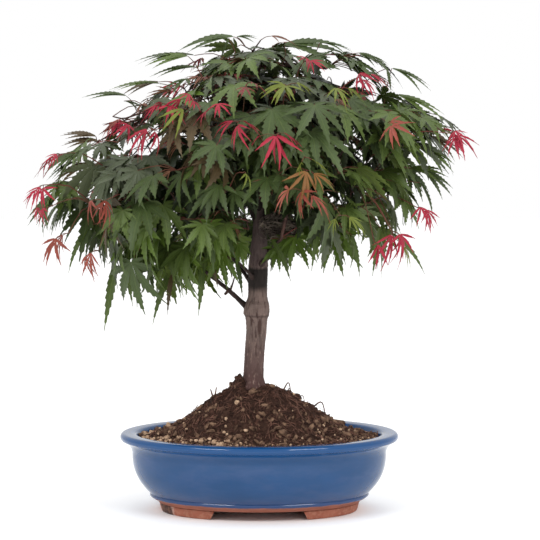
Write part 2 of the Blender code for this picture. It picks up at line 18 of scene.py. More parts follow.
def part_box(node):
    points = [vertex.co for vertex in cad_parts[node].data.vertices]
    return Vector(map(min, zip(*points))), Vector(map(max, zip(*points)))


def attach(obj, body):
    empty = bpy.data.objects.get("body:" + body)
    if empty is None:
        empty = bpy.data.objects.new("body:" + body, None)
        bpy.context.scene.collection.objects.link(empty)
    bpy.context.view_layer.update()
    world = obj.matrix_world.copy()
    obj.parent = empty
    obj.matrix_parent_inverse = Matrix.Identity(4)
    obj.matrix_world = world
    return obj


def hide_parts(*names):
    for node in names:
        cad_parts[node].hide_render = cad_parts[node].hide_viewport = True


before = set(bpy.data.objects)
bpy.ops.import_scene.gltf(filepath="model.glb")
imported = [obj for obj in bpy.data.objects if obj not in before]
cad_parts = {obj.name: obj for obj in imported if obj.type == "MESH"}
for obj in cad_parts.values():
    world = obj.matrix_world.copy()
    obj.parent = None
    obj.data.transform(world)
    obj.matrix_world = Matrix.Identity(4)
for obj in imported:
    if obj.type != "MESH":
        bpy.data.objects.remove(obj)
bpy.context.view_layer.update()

bl_info = {
    "name": "Japanese Maple Bonsai",
    "version": (1, 0, 0),
    "blender": (4, 5, 0),
    "location": "3D View > Sidebar > Bonsai",
    "description": "Makes a Japanese maple bonsai in an oval glazed pot",
    "category": "Object",
}

MM = 0.001
# The place from which the photograph was taken, from the middle of the pot's foot
EYE_ACROSS = 10.8 * MM
EYE_DISTANCE = 2.2
EYE_HEIGHT = 0.40
POT_LOW, POT_HIGH = [np.array(corner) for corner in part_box("pot")]
HOME = np.array([(POT_LOW[0] + POT_HIGH[0]) / 2, (POT_LOW[1] + POT_HIGH[1]) / 2, 0])
FOLIAGE_NODES = sorted(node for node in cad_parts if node.startswith("foliage_"))

# Pot: every level is an ellipse, set in by the same distance on all sides from the rim's outline
RIM_TOP = float(POT_HIGH[2])
RIM_ROLL_RADIUS = 4 * MM
RIM_SHELF = 17 * MM
NECK_INSET = 12 * MM
NECK_HEIGHT = 60 * MM
LEDGE_INSET = 30 * MM
LEDGE_TOP = 18.5 * MM
LEDGE_FOOT = 15 * MM
BELLY_POWER = 2.5
WALL = 7.5 * MM
UNDERSIDE_INSET = 38.5 * MM
UNDERSIDE_HEIGHT = float(POT_LOW[2])
FLOOR_HEIGHT = 16 * MM
GLAZE_FOOT = 14.8 * MM
DRAIN_HOLE_RADIUS = 9 * MM
DRAIN_HOLE_SPACING = 96 * MM
DRAIN_HOLE_SIDES = 40
POT_SIDES = 192
# The rim's roll: its start and its sweep in degrees, and its steps
ROLL_START = -50
ROLL_SWEEP = 140
ROLL_STEPS = 16
FLARE_STEPS = 8
BELLY_STEPS = 22
GLAZE_RIPPLE = 0.12 * MM
GLAZE_RIPPLE_CELL = 30 * MM
SHARP_ANGLE = math.radians(50)

# Feet
FOOT_TOP_INSET = 39 * MM
FOOT_SPLAY = 2.5 * MM
FOOT_WIDTH = 12 * MM
FOOT_GAP_HALF = 44 * MM
FOOT_END_SLOPE = 4 * MM
FOOT_HEIGHT = 9.1 * MM
FOOT_POWER = 0.22
FOOT_ROUNDING = 0.06
FOOT_SIDES = 28
FOOT_STEPS = 72
STAIN_PLACE = (-92 * MM, -24 * MM, 6 * MM)

# Soil
SOIL_EDGE_INSET = 19 * MM
SOIL_EDGE_HEIGHT = 73.5 * MM
MOUND_RISE = 52 * MM
SOIL_ROUGHNESS = 2.6 * MM
# A lump in front of the trunk: across, back, its height and its half width
SOIL_LUMP = (-20 * MM, -3 * MM, 15 * MM, 7 * MM)
SOIL_SIDES = 220
SOIL_RINGS = 90
SOIL_INNER_SHARE = 0.02
TRUNK_CLEARANCE = 12 * MM
# Where the pale grains lie thickest: direction and spread in degrees, and shares of the way out
DRIFT_TURN = (222, 26)
DRIFT_SHARES = (0.83, 0.985)
LITTER_SHAPES = 4
FIBRE_STEPS = 10
FIBRE_REACH_MM = (119, 87)
# Roots that stand clear of the mound: across, back, rise, run to the right and radius in mm
RISEN_ROOTS = (
    (-46, 0, 12, -3, 1.1), (-45, -1, 10, 2, 1.0), (-106, -4, 9, 1.5, 0.8), (23, 0, 10, 9, 0.8),
    (52, 0, 10, 15, 0.9), (38, -2, 6, 8, 0.6), (12, -6, 4, 7, 0.4), (-70, -2, 6, 7, 0.5),
)

# Trunk: middle of each level (x, y, z) and radius there, from the flat cut up to the leader's tip
TRUNK_STATIONS_MM = (
    (-6.5, 0, 125.8, 13.5), (-6.3, 0, 129, 11.6), (-5.6, 0, 137, 10.4), (-4.4, 0, 158, 10.2),
    (-3.0, -1, 182, 10.5), (-2.5, -1, 193, 11.3), (-2.3, -1, 201, 12.3), (-2.0, -1, 208, 11.7),
    (-1.6, -1, 217, 10.1), (-1.2, 0, 243, 10.2), (-0.4, 1, 262, 9.0), (0.6, 2, 285, 7.2),
    (1.5, 3, 320, 5.2), (0.5, 4, 360, 3.8), (-0.5, 4, 432, 2.0),
)
GRAFT_HEIGHT = 201 * MM
CREASE_HEIGHT = 196.5 * MM
DARK_BAND = (225 * MM, 245 * MM)
DARK_STREAK = (0.5 * MM, -11 * MM, 186 * MM)
TRUNK_ROWS = 520
TRUNK_SIDES = 112

# Boughs and twigs: the sharpest turn of a twig is a cosine
BOUGH_TIP_RADIUS = 1.7 * MM
BOUGH_SLIMMER = 0.72
BOUGH_ARCH = 0.04
TWIG_TIP_RADIUS = 0.6 * MM
STEM_LENGTH = 9 * MM
STEM_SUNK = 2 * MM
SIDE_TWIG_SLIMMER = 0.85
FORK_SHARE = 0.45
SHARPEST_TURN = 0.3
BOUGH_ROWS = 48
BOUGH_SIDES = 22
TWIG_ROWS = 9
TWIG_SIDES = 6
STALK_ROWS = 5
FINE_SIDES = 4

# Short twigs that stand on the left bough: places along each in mm, and radii
SPURS = (
    ((-29, -1, 222), (-26.5, -3, 229), (-24.5, -4, 236), (1.3, 0.8, 0.6)),
    ((-30.5, -1, 222), (-32.5, -2, 220), (-34.5, -3, 218), (1.9, 1.5, 1.2)),
)

# Tangle of dead twigs in the fork right of the trunk: its middle and its half axes in mm
TANGLE_MIDDLE = (19, -12, 286)
TANGLE_REACH = (18, 11, 12)
TANGLE_TWIGS = 190
TANGLE_STEPS = 8

# Sprays of leaves: sizes are shares of the usual length, the fan's turns are in degrees, the
# sharpest turn is a cosine, and the space between two blades is a share of their length
LEAF_STALK = 26 * MM
LEAF_SIZES = (0.6, 1.15)
STALK_SIZES = (0.5, 1.5)
HANG_SHARES = (0.55, 1.3)
OUTWARD_PULL = 0.35
MOST_BEND = 0.9
SHARPEST_BLADE_TURN = 0.3
FAN_REACH = 120
FAN_APART = 24
LEAF_TRIES = 60
LEAF_SPACE = 0.36
DARK_SPRAYS_FOOT = 300 * MM
SMALL_LEAVES_FOOT = 370 * MM
SMALL_LEAF_LENGTHS = (14, 28)
# Pockets without leaves
POCKET_CELL = 40 * MM
POCKET_LEVEL = 0.36
POCKET_SEED = 5
# Leaves at the outline's edge, and young shoots
EDGE_ARCH = 0.14
EDGE_LEAN = 0.3
EDGE_MIDDLE = 65 * MM
EDGE_MIDDLE_TOP = 300 * MM
EDGE_MIDDLE_FORWARD = 35 * MM
DETOUR = 30 * MM
FRONT_SHARE = 0.93
# Young shoots at the back: their number, directions in degrees, heights in mm, shares of the reach
BACK_SHOOTS = 22
BACK_TURNS = (25, 155)
BACK_HEIGHTS = (285, 455)
BACK_SHARES = (0.86, 0.95)
# How far in, as a share of the reach, and between which heights leaves take the darkest tint as
# painted shade inside the crown
SHADE_SHARE = 0.68
SHADE_HEIGHTS = (292 * MM, 432 * MM)
# Blades: how many kinds there are, and a grown one's lobes in degrees and in shares of its length
GROWN_KINDS = 8
YOUNG_KINDS = 4
LOBE_ANGLES = (-116, -76, -36, 0, 36, 76, 116)
LOBE_LENGTHS = (0.36, 0.68, 0.92, 1.0, 0.92, 0.68, 0.36)

# Crown: how far leaf tips reach from its axis at each height: (height, left, right, depth) in mm
CROWN_AXIS = Vector((-8 * MM, 0, 0))
CROWN_REACH_MM = (
    (198, 132, 34, 84), (228, 176, 130, 140), (257, 207, 168, 170), (317, 242, 186, 192),
    (370, 196, 228, 180), (400, 156, 187, 156), (440, 128, 147, 126), (462, 98, 108, 92),
    (480, 60, 66, 56),
)
CROWN_ROWS = np.array(CROWN_REACH_MM) * MM
CROWN_TOP = 467 * MM
CROWN_SLACK = 4 * MM
CROWN_HOLLOW = 0.45
OUTER_POWER = 1.6
LAYER_HEIGHT = 430 * MM
LAYER_SLOPE = 0.5
TOP_FOOT = 434 * MM
CANDIDATES = 12
# How far leaves hang: from the foot's height over the span up, its least and its range in degrees
DROOP_FOOT = 225 * MM
DROOP_SPAN = 245 * MM
DROOP_LEAST = 4
DROOP_RANGE = 78
DROOP_POWER = 1.45

# Name: ring, direction in degrees, bough's foot on the trunk and its tip (out, height) in mm, its
# radius, sprays, seed
MASSES = {
    "left": ("lower", 180, 196, 76, 264, 4.2, 19, 61),
    "front_left": ("lower", 240, 229, 56, 266, 2.8, 17, 12),
    "front_right": ("lower", 300, 243, 54, 274, 3.6, 18, 13),
    "right": ("lower", 0, 254, 58, 284, 4.0, 19, 14),
    "back_right": ("lower", 60, 236, 56, 272, 3.6, 14, 15),
    "back_left": ("lower", 120, 220, 58, 264, 3.6, 13, 26),
    "upper_left": ("upper", 180, 284, 50, 410, 3.4, 14, 17),
    "upper_front": ("upper", 270, 296, 46, 411, 3.2, 14, 18),
    "upper_right": ("upper", 0, 308, 50, 411, 3.2, 16, 29),
    "upper_back": ("upper", 90, 322, 46, 411, 3.0, 14, 20),
    "top": ("top", 0, 432, 0, 432, 2.0, 15, 21),
}

# Tints of grown leaves: base colour, how often a spray takes it, and the back's lighter colour
LEAF_TINTS = {
    # The first tint is painted shade, given to leaves well inside the crown
    "deep": ((0.016, 0.026, 0.008), 0.0, (0.030, 0.045, 0.012)),
    "dark": ((0.044, 0.070, 0.018), 0.38, (0.082, 0.115, 0.031)),
    "green": ((0.072, 0.111, 0.023), 0.32, (0.12, 0.165, 0.036)),
    "grey": ((0.060, 0.076, 0.040), 0.13, (0.098, 0.116, 0.060)),
    # Fresh green is the young leaves' own colour, made lighter by painted light that shines through
    # them from behind
    "fresh": ((0.074, 0.125, 0.014), 0.09, (0.12, 0.18, 0.026)),
    "bronze": ((0.072, 0.050, 0.022), 0.035, (0.11, 0.072, 0.036)),
}
# Where the photograph shows one tint massed: middle across and height in mm, its reach, the tint
TINT_PATCHES = (
    (-135, 352, 32, "grey"), (-112, 322, 28, "dark"), (-168, 338, 22, "grey"),
    (-75, 385, 18, "bronze"), (-60, 240, 22, "fresh"), (0, 265, 26, "fresh"),
    (50, 262, 24, "fresh"), (-70, 400, 12, "fresh"), (90, 300, 24, "green"),
    (150, 330, 30, "green"), (148, 368, 24, "green"), (-126, 230, 22, "dark"),
    (14, 318, 12, "fresh"), (88, 356, 15, "grey"), (-56, 270, 15, "green"), (78, 266, 16, "green"),
)

# Young shoots on the side that the photograph shows: across and height in mm, tint, leaves, length
SHOOTS = (
    (-217, 323, "crimson", 3, 28), (-201, 354, "crimson", 2, 28), (-124, 385, "crimson", 2, 32),
    (-100, 377, "crimson", 3, 38), (-88, 404, "crimson", 3, 30), (-64, 409, "crimson", 3, 30),
    (-40, 400, "crimson", 2, 28), (-19, 386, "crimson", 3, 36), (16, 373, "crimson", 4, 34),
    (43, 446, "crimson", 2, 26), (97, 431, "crimson", 3, 28), (124, 386, "salmon", 2, 32),
    (194, 374, "crimson", 4, 34), (158, 300, "crimson", 3, 28), (131, 275, "crimson", 3, 34),
    (112, 268, "crimson", 2, 28), (41, 317, "salmon", 3, 38), (46, 338, "amber", 2, 36),
    (-149, 308, "salmon", 3, 32), (-214, 300, "crimson", 2, 26), (-189, 271, "salmon", 2, 40),
    (-157, 256, "salmon", 2, 36), (-11, 424, "maroon", 2, 30), (43, 352, "yellow", 2, 30),
    (27, 422, "yellow", 3, 34), (72, 418, "yellow", 2, 32), (78, 296, "yellow", 2, 26),
    (134, 268, "yellow", 1, 32), (-66, 398, "yellow", 1, 30), (-14, 338, "yellow", 1, 28),
)
# Leaves that stand out of the crown's outline in the photograph: base and tip, across and height
EDGE_LEAVES = (
    (-25, 474, -81, 462, "dark"), (-22, 474, 0, 473, "dark"), (-64, 456, -124, 454, "dark"),
    (-70, 455, -112, 446, "green"), (-98, 428, -148, 425, "green"),
    (-100, 430, -138, 418, "bronze"), (-132, 416, -176, 417, "dark"),
    (-134, 411, -112, 404, "dark"), (-162, 376, -197, 378, "bronze"),
    (-160, 372, -196, 368, "bronze"), (-187, 358, -223, 347, "maroon"),
    (-196, 321, -228, 288, "dark"), (-168, 318, -200, 294, "dark"), (-186, 330, -222, 318, "green"),
    (-168, 288, -193, 243, "green"), (-143, 250, -152, 183, "green"),
    (-86, 246, -108, 190, "green"), (-86, 240, -92, 200, "bronze"), (-136, 260, -127, 208, "green"),
    (-128, 278, -131, 241, "fresh"), (-114, 256, -105, 214, "dark"), (-90, 262, -80, 214, "green"),
    (-55, 256, -58, 201, "green"), (-68, 262, -52, 224, "fresh"), (27, 276, 23, 247, "fresh"),
    (35, 278, 46, 247, "fresh"), (17, 268, 13, 244, "fresh"), (60, 292, 50, 246, "green"),
    (76, 282, 78, 238, "fresh"), (60, 468, 94, 461, "dark"), (25, 467, 88, 460, "dark"),
    (98, 458, 120, 448, "dark"), (131, 443, 172, 423, "dark"), (150, 370, 190, 340, "grey"),
    (-176, 362, -212, 340, "dark"), (-168, 350, -204, 330, "bronze"), (150, 345, 188, 338, "green"),
    (172, 376, 205, 356, "bronze"), (-23, 256, -17.5, 218, "dark"), (-46, 264, -44, 228, "bronze"),
    (-38, 264, -33, 230, "fresh"), (-30, 266, -28, 236, "bronze"), (12, 276, 30, 234, "green"),
    (136, 417, 187, 393, "green"), (140, 404, 172, 380, "green"), (153, 386, 198, 379, "bronze"),
    (163, 343, 192, 318, "dark"), (160, 330, 176, 296, "dark"), (134, 278, 168, 240, "green"),
    (120, 286, 112, 238, "green"), (-30, 472, -39, 451, "dark"), (106, 456, 130, 445, "dark"),
    (126, 443, 129, 419, "dark"), (164, 366, 194, 341, "green"), (92, 278, 98, 237, "green"),
    (-180, 352, -212, 334, "dark"), (-160, 292, -178, 252, "dark"), (-172, 302, -197, 270, "dark"),
    (-115, 262, -125, 206, "green"), (-20, 272, -22, 248, "fresh"), (-62, 444, -108, 437, "dark"),
)
# Where the photograph shows sky through the crown: across, height and reach in mm as seen in it
SKY = (
    (-160, 394, 20), (-176, 384, 14), (-200, 369, 13), (-216, 352, 8), (-62, 459, 8), (-42, 466, 5),
    (-82, 444, 8), (-105, 438, 8), (-120, 419, 6), (-17, 464, 5), (6, 468, 5), (41, 461, 5),
    (-1, 446, 4), (16, 436, 4), (31, 450, 4), (54, 413, 4), (70, 444, 10), (82, 438, 10),
    (116, 423, 6), (162, 372, 6), (177, 307, 8), (154, 287, 6), (106, 267, 6), (56, 250, 13),
    (44, 272, 7), (71, 320, 5), (84, 196, 42), (-6, 202, 44), (-178, 240, 12), (-172, 322, 5),
    (-82, 276, 6), (-80, 423, 5), (-118, 391, 4), (-104, 384, 5), (-176, 296, 6), (-122, 440, 14),
    (-150, 402, 10), (-52, 414, 5), (-15, 401, 4), (-71, 380, 4), (-55, 380, 4), (-119, 362, 6),
    (-76, 358, 5), (-17, 346, 4), (-201, 336, 6), (-187, 336, 5), (118, 421, 5), (78, 374, 4),
    (87, 370, 4), (106, 356, 5), (29, 345, 4), (79, 350, 4), (-8, 302, 4), (-122, 259, 5),
    (-88, 289, 5), (79, 313, 6), (101, 321, 4), (128, 320, 5), (119, 293, 5), (98, 275, 5),
    (140, 420, 5), (-159, 213, 8), (-201, 262, 18), (-169, 232, 11), (186, 408, 10), (172, 416, 8),
    (197, 396, 8), (3, 477, 9), (-6, 471, 5), (165, 270, 7), (178, 280, 7), (-24, 480, 7),
)
# Where it shows the bare trunk, the left bough and the tangle of dead twigs with no leaf in front
BARE = (
    (-2, 258, 15), (-30, 223, 13), (-44, 235, 6), (20, 286, 17),
)
SHOOT_TINTS = {
    "crimson": ((0.32, 0.011, 0.032), (0.38, 0.033, 0.06)),
    "salmon": ((0.24, 0.048, 0.030), (0.30, 0.085, 0.055)),
    "amber": ((0.20, 0.085, 0.02), (0.26, 0.13, 0.04)),
    "maroon": ((0.17, 0.028, 0.03), (0.24, 0.06, 0.05)),
    "russet": ((0.15, 0.055, 0.028), (0.20, 0.09, 0.05)),
    "yellow": ((0.125, 0.155, 0.018), (0.18, 0.21, 0.032)),
}

# Colours in the finishes, beside those that the settings give
GLAZE_STREAK = (0.024, 0.066, 0.172)
GLAZE_AT_RIM = (0.002, 0.055, 0.182)
# Painted shade: a darker glaze low on the body, round the ledge
GLAZE_SHADE_AT_FOOT = (0.03, 0.045, 0.13)
GLAZE_PINHOLE = (0.012, 0.02, 0.045)
CLAY_EDGE = (0.27, 0.085, 0.05)
CLAY_DARK = (0.25, 0.075, 0.045)
CLAY_PALE = (0.39, 0.165, 0.105)
STAIN_CRUST = (0.55, 0.42, 0.36)
STAIN_DARK = (0.05, 0.026, 0.02)
STAIN_PALE = (0.20, 0.10, 0.07)
BARK_FOOT = (0.062, 0.026, 0.024)
BARK_FLECK = (0.25, 0.17, 0.14)
BARK_PIT = (0.062, 0.034, 0.029)
BARK_CREASE_SHADE = (0.030, 0.016, 0.013)
BARK_STREAK = (0.040, 0.017, 0.013)
BARK_HIGH = (0.072, 0.050, 0.052)
BARK_BAND = (0.010, 0.0075, 0.0065)
# Matt finishes: first colour (none where a setting gives it), second colour, the mottle's scale,
# the relief's scale and depth, roughness
MATT_FINISHES = {
    "peat": (None, (0.055, 0.028, 0.019), 160.0, 700.0, 1 * MM, 0.9),
    "crumbs": (None, (0.072, 0.034, 0.024), 240.0, 1200.0, 0.5 * MM, 0.9),
    "grains": (None, (0.30, 0.19, 0.12), 240.0, 900.0, 0.3 * MM, 0.9),
    "chips": ((0.045, 0.023, 0.016), (0.23, 0.14, 0.09), 170.0, 800.0, 0.4 * MM, 0.9),
    "fine roots": ((0.028, 0.014, 0.011), (0.20, 0.10, 0.072), 120.0, 900.0, 0.2 * MM, 0.9),
    "bough bark": ((0.018, 0.012, 0.011), (0.055, 0.037, 0.032), 110.0, 900.0, 0.4 * MM, 0.9),
    "dead twigs": ((0.055, 0.042, 0.034), (0.32, 0.26, 0.21), 70.0, 900.0, 0.2 * MM, 0.9),
    "twig bark": ((0.030, 0.019, 0.016), (0.085, 0.045, 0.036), 60.0, 1600.0, 0.2 * MM, 0.9),
    "leaf stalk": ((0.095, 0.062, 0.030), (0.14, 0.030, 0.028), 40.0, 900.0, 0.1 * MM, 0.5),
}
MOTTLE_INPUTS = {
    "Place": "NodeSocketVector",
    "First": "NodeSocketColor",
    "Second": "NodeSocketColor",
    "Scale": "NodeSocketFloat",
    "Stretch": "NodeSocketFloat",
    "Edge": "NodeSocketFloat",
    "Level": "NodeSocketFloat",
}

# Seeds of the random draws
LITTER_SEED = 5
TANGLE_SEED = 17
LEAF_SEED = 100
EDGE_SEED = 3
SHOOT_SEED = 7

# Stage: the floor's half side, the half axes of the oval round the pot where the floor's painted
# glow fades out, which leaves a painted contact shadow, and the camera's tilt in degrees
FLOOR_HALF = 6.0
GLOW_REACH = (0.125, 0.093)
CAMERA_TILT = 4.10
SENSOR_WIDTH = 36


class PotSettings(bpy.types.PropertyGroup):
    """Size and colours of the pot."""

    length: FloatProperty(
        name="Length",
        description="Length of the rim's outline",
        default=float(POT_HIGH[0] - POT_LOW[0]) + 0.2 * MM,
        subtype="DISTANCE",
        unit="LENGTH",
    )
    width: FloatProperty(
        name="Width",
        description="Width of the rim's outline",
        default=float(POT_HIGH[1] - POT_LOW[1]) + 0.2 * MM,
        subtype="DISTANCE",
        unit="LENGTH",
    )
    glaze: FloatVectorProperty(
        name="Glaze",
        description="Colour of the glaze where it is thick",
        default=(0.003, 0.046, 0.140),
        subtype="COLOR",
    )
    thin_glaze: FloatVectorProperty(
        name="Thin glaze",
        description="Colour of the glaze where it has run thin",
        default=(0.011, 0.062, 0.180),
        subtype="COLOR",
    )
    clay: FloatVectorProperty(
        name="Clay",
        description="Colour of the bare fired clay",
        default=(0.33, 0.110, 0.068),
        subtype="COLOR",
    )


class SoilSettings(bpy.types.PropertyGroup):
    """What lies on the soil."""

    crumbs: IntProperty(name="Crumbs", description="Dark lumps of peat", default=3600)
    grains: IntProperty(name="Grains", description="Pale grains of stone", default=700)
    fibres: IntProperty(name="Fibres", description="Fine roots and fibres", default=1100)
    chips: IntProperty(name="Chips", description="Chips of bark", default=640)
    earth: FloatVectorProperty(
        name="Earth",
        description="Colour of the peat",
        default=(0.022, 0.010, 0.007),
        subtype="COLOR",
    )
    grain: FloatVectorProperty(
        name="Grain",
        description="Colour of the pale grains",
        default=(0.62, 0.43, 0.29),
        subtype="COLOR",
    )


class TreeSettings(bpy.types.PropertyGroup):
    """How full the crown is, and the bark's colour."""

    leaf_length: FloatProperty(
        name="Leaf length",
        description="Length of a grown leaf's middle lobe",
        default=50 * MM,
        subtype="DISTANCE",
        unit="LENGTH",
    )
    fullness: FloatProperty(
        name="Fullness",
        description="Sprays for each spray of the solid masses",
        default=1.7,
        min=1,
    )
    leaves_per_spray: IntProperty(
        name="Leaves per spray", description="Most leaves on one spray", default=5
    )
    bark: FloatVectorProperty(
        name="Bark",
        description="Colour of the bark",
        default=(0.150, 0.106, 0.091),
        subtype="COLOR",
    )


class StageSettings(bpy.types.PropertyGroup):
    """Camera, floor and lights."""

    distance: FloatProperty(
        name="Distance",
        description="From the camera to the pot's middle",
        default=EYE_DISTANCE,
        subtype="DISTANCE",
        unit="LENGTH",
    )
    height: FloatProperty(
        name="Height",
        description="Height of the camera above the floor",
        default=EYE_HEIGHT,
        subtype="DISTANCE",
        unit="LENGTH",
    )
    lens: FloatProperty(name="Lens", description="Focal length in mm", default=146.8)
    floor: FloatVectorProperty(
        name="Floor", description="Colour of the floor", default=(0.96, 0.96, 0.96), subtype="COLOR"
    )


def lattice_noise(places, cell, seed):
    """Smooth noise from -1 to 1 at each place.

    Each corner of a cubic lattice of that cell has a random value from its three whole numbers. A
    place takes the mean of its cell's eight corners, weighted by a smooth step along each axis.
    """
    scaled = np.asarray(places, dtype=float) / cell
    corner = np.floor(scaled).astype(np.int64)
    share = scaled - corner
    share = share * share * (3 - 2 * share)
    total = 0
    for step in product((0, 1), repeat=3):
        number = (corner + step) @ np.array([73856093, 19349663, 83492791]) + seed * 7919
        number = ((number ^ (number >> 13)) * 1274126177) & 0x7FFFFFFF
        number = ((number ^ (number >> 15)) * 40503) & 0x7FFFFFFF
        weight = np.prod(np.where(step, share, 1 - share), axis=-1)
        total = total + weight * (number / 0x3FFFFFFF - 1)
    return total


def layered_noise(places, cell, seed, layers=3):
    """Lattice noise summed over cells that halve, each layer with half the weight of the last."""
    return sum(
        lattice_noise(places, cell / 2**layer, seed + layer) / 2**layer for layer in range(layers)
    )


def unit(vectors):
    """The vectors at length 1, along the last axis."""
    return vectors / np.maximum(np.linalg.norm(vectors, axis=-1, keepdims=True), 1e-12)


def through(stations, count):
    """Evenly spaced points on a smooth curve through the stations.

    Between two stations it is the cubic whose slope at each of them is half the step between that
    station's neighbours.
    """
    stations = np.asarray(stations, dtype=float)
    held = np.vstack([2 * stations[0] - stations[1], stations, 2 * stations[-1] - stations[-2]])
    place = np.linspace(0, len(stations) - 1, count)
    part = np.minimum(place.astype(int), len(stations) - 2)
    t = (place - part)[:, None]
    p0, p1, p2, p3 = (held[part + k] for k in range(4))
    square, cube = 2 * p0 - 5 * p1 + 4 * p2 - p3, 3 * p1 - p0 - 3 * p2 + p3
    return 0.5 * (2 * p1 + (p2 - p0) * t + square * t**2 + cube * t**3)


def grid_faces(rows, columns):
    """Quads between neighbours on a grid whose last column meets its first."""
    row, column = np.mgrid[0 : rows - 1, 0:columns]
    after = (column + 1) % columns
    low, high = row * columns, (row + 1) * columns
    corners = [low + column, low + after, high + after, high + column]
    return np.stack(corners, axis=-1).reshape(-1, 4)


def end_faces(rows, columns):
    """The two flat faces that close a grid at its first and its last row."""
    first = np.arange(columns)[::-1]
    last = np.arange(columns) + (rows - 1) * columns
    return np.stack([first, last])


def new_piece(name, points, face_sets, finish, uv=None):
    """A mesh object at the origin from arrays: points round HOME, and faces by their corners."""
    mesh = bpy.data.meshes.new(name)
    corners = np.concatenate([faces.ravel() for faces in face_sets]).astype(np.int32)
    sizes = np.concatenate([np.full(len(faces), faces.shape[1]) for faces in face_sets])
    mesh.vertices.add(len(points))
    mesh.vertices.foreach_set("co", (points + HOME).astype(np.float32).ravel())
    mesh.loops.add(len(corners))
    mesh.loops.foreach_set("vertex_index", corners)
    mesh.polygons.add(len(sizes))
    mesh.polygons.foreach_set("loop_start", (np.cumsum(sizes) - sizes).astype(np.int32))
    mesh.polygons.foreach_set("use_smooth", np.ones(len(sizes), dtype=bool))
    if uv is not None:
        layer = mesh.uv_layers.new(name="blade")
        layer.data.foreach_set("uv", uv[corners].astype(np.float32).ravel())
    mesh.update(calc_edges=True)
    mesh.validate()
    mesh.materials.append(finish)
    piece = bpy.data.objects.new(name, mesh)
    bpy.context.scene.collection.objects.link(piece)
    return piece


def place_piece(piece, slot, *nodes):
    """Puts the piece on the root body and hides the nodes that it stands for. The slot is not used.
    """
    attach(piece, "root")
    if nodes:
        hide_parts(*nodes)


def tubes(paths, radii, sides):
    """Round limbs along many paths of as many points each.

    A ring stands square to its path at each point: a steady side direction and the one square to
    it, by the cosine and sine of the turn, times the radius.
    """
    paths, radii = np.asarray(paths), np.asarray(radii)
    count, rows = paths.shape[:2]
    along = unit(np.gradient(paths, axis=1))
    chord = np.abs(paths[:, -1] - paths[:, 0])
    steady = np.eye(3)[np.argmin(chord, axis=1)]
    across = unit(np.cross(along, steady[:, None]))
    other = np.cross(along, across)
    turn = 2 * np.pi * np.arange(sides) / sides
    ring = across[:, :, None] * np.cos(turn)[:, None] + other[:, :, None] * np.sin(turn)[:, None]
    points = paths[:, :, None] + ring * radii[:, :, None, None]
    step = (np.arange(count) * rows * sides)[:, None, None]
    walls = (grid_faces(rows, sides)[None] + step).reshape(-1, 4)
    ends = (end_faces(rows, sides)[None] + step).reshape(-1, sides)
    return points.reshape(-1, 3), [walls, ends]


def copies(points, faces, turns, places):
    """One small mesh at many places: its points by each matrix, then moved to each place."""
    every = np.einsum("nij,pj->npi", turns, points) + places[:, None]
    step = (np.arange(len(places)) * len(points))[:, None, None]
    return every.reshape(-1, 3), (faces[None] + step).reshape(-1, faces.shape[1])


def random_turns(rng, count):
    """Even random rotations as matrices, each from a unit quaternion of four normal numbers."""
    w, x, y, z = unit(rng.normal(size=(count, 4))).T
    return np.stack(
        [
            np.stack([1 - 2 * (y * y + z * z), 2 * (x * y - z * w), 2 * (x * z + y * w)], axis=-1),
            np.stack([2 * (x * y + z * w), 1 - 2 * (x * x + z * z), 2 * (y * z - x * w)], axis=-1),
            np.stack([2 * (x * z - y * w), 2 * (y * z + x * w), 1 - 2 * (x * x + y * y)], axis=-1),
        ],
        axis=1,
    )


def feed(tree, socket, value):
    """Gives a node's input a link, a colour with its alpha, or a plain value."""
    if isinstance(value, bpy.types.NodeSocket):
        tree.links.new(value, socket)
    elif socket.type == "RGBA":
        socket.default_value = (*value, 1)
    else:
        socket.default_value = value


def add_node(tree, kind, inputs=None, **settings):
    """A node with its settings, and its inputs by name or number as values or links."""
    node = tree.nodes.new(kind)
    for key, value in settings.items():
        setattr(node, key, value)
    for key, value in (inputs or {}).items():
        feed(tree, node.inputs[key], value)
    return node


def mix_colour(tree, factor, first, second):
    """The colour that far from the first to the second."""
    inputs = {0: factor, 6: first, 7: second}
    return add_node(tree, "ShaderNodeMix", inputs, data_type="RGBA").outputs[2]


def spread(tree, value, low, high, to_low=0.0, to_high=1.0):
    """The value carried from one range to another by a smooth step."""
    inputs = {0: value, 1: low, 2: high, 3: to_low, 4: to_high}
    node = add_node(tree, "ShaderNodeMapRange", inputs, interpolation_type="SMOOTHSTEP")
    return node.outputs[0]


def combine(tree, operation, first, second):
    """A sum, product or other operation on two values."""
    return add_node(tree, "ShaderNodeMath", {0: first, 1: second}, operation=operation).outputs[0]


def vector_math(tree, operation, first, second=(0, 0, 0)):
    """The vector, or the length or distance, that an operation makes of two vectors."""
    node = add_node(tree, "ShaderNodeVectorMath", {0: first, 1: second}, operation=operation)
    return node.outputs["Value" if operation in ("LENGTH", "DISTANCE") else "Vector"]


def mottle_group():
    """Patches of a second colour over a first, by noise stretched along Z, and their mask."""
    if "mottle" in bpy.data.node_groups:
        return bpy.data.node_groups["mottle"]
    group = bpy.data.node_groups.new("mottle", "ShaderNodeTree")
    for name, kind in MOTTLE_INPUTS.items():
        group.interface.new_socket(name, in_out="INPUT", socket_type=kind)
    group.interface.new_socket("Colour", in_out="OUTPUT", socket_type="NodeSocketColor")
    group.interface.new_socket("Mask", in_out="OUTPUT", socket_type="NodeSocketFloat")
    given = group.nodes.new("NodeGroupInput").outputs
    squeeze = add_node(group, "ShaderNodeCombineXYZ", {0: 1.0, 1: 1.0, 2: given["Stretch"]})
    place = vector_math(group, "MULTIPLY", given["Place"], squeeze.outputs[0])
    noise = noise_value(group, place, given["Scale"], 5.0)
    low = combine(group, "SUBTRACT", given["Level"], given["Edge"])
    high = combine(group, "ADD", given["Level"], given["Edge"])
    mask = spread(group, noise, low, high)
    colour = mix_colour(group, mask, given["First"], given["Second"])
    add_node(group, "NodeGroupOutput", {"Colour": colour, "Mask": mask})
    return group


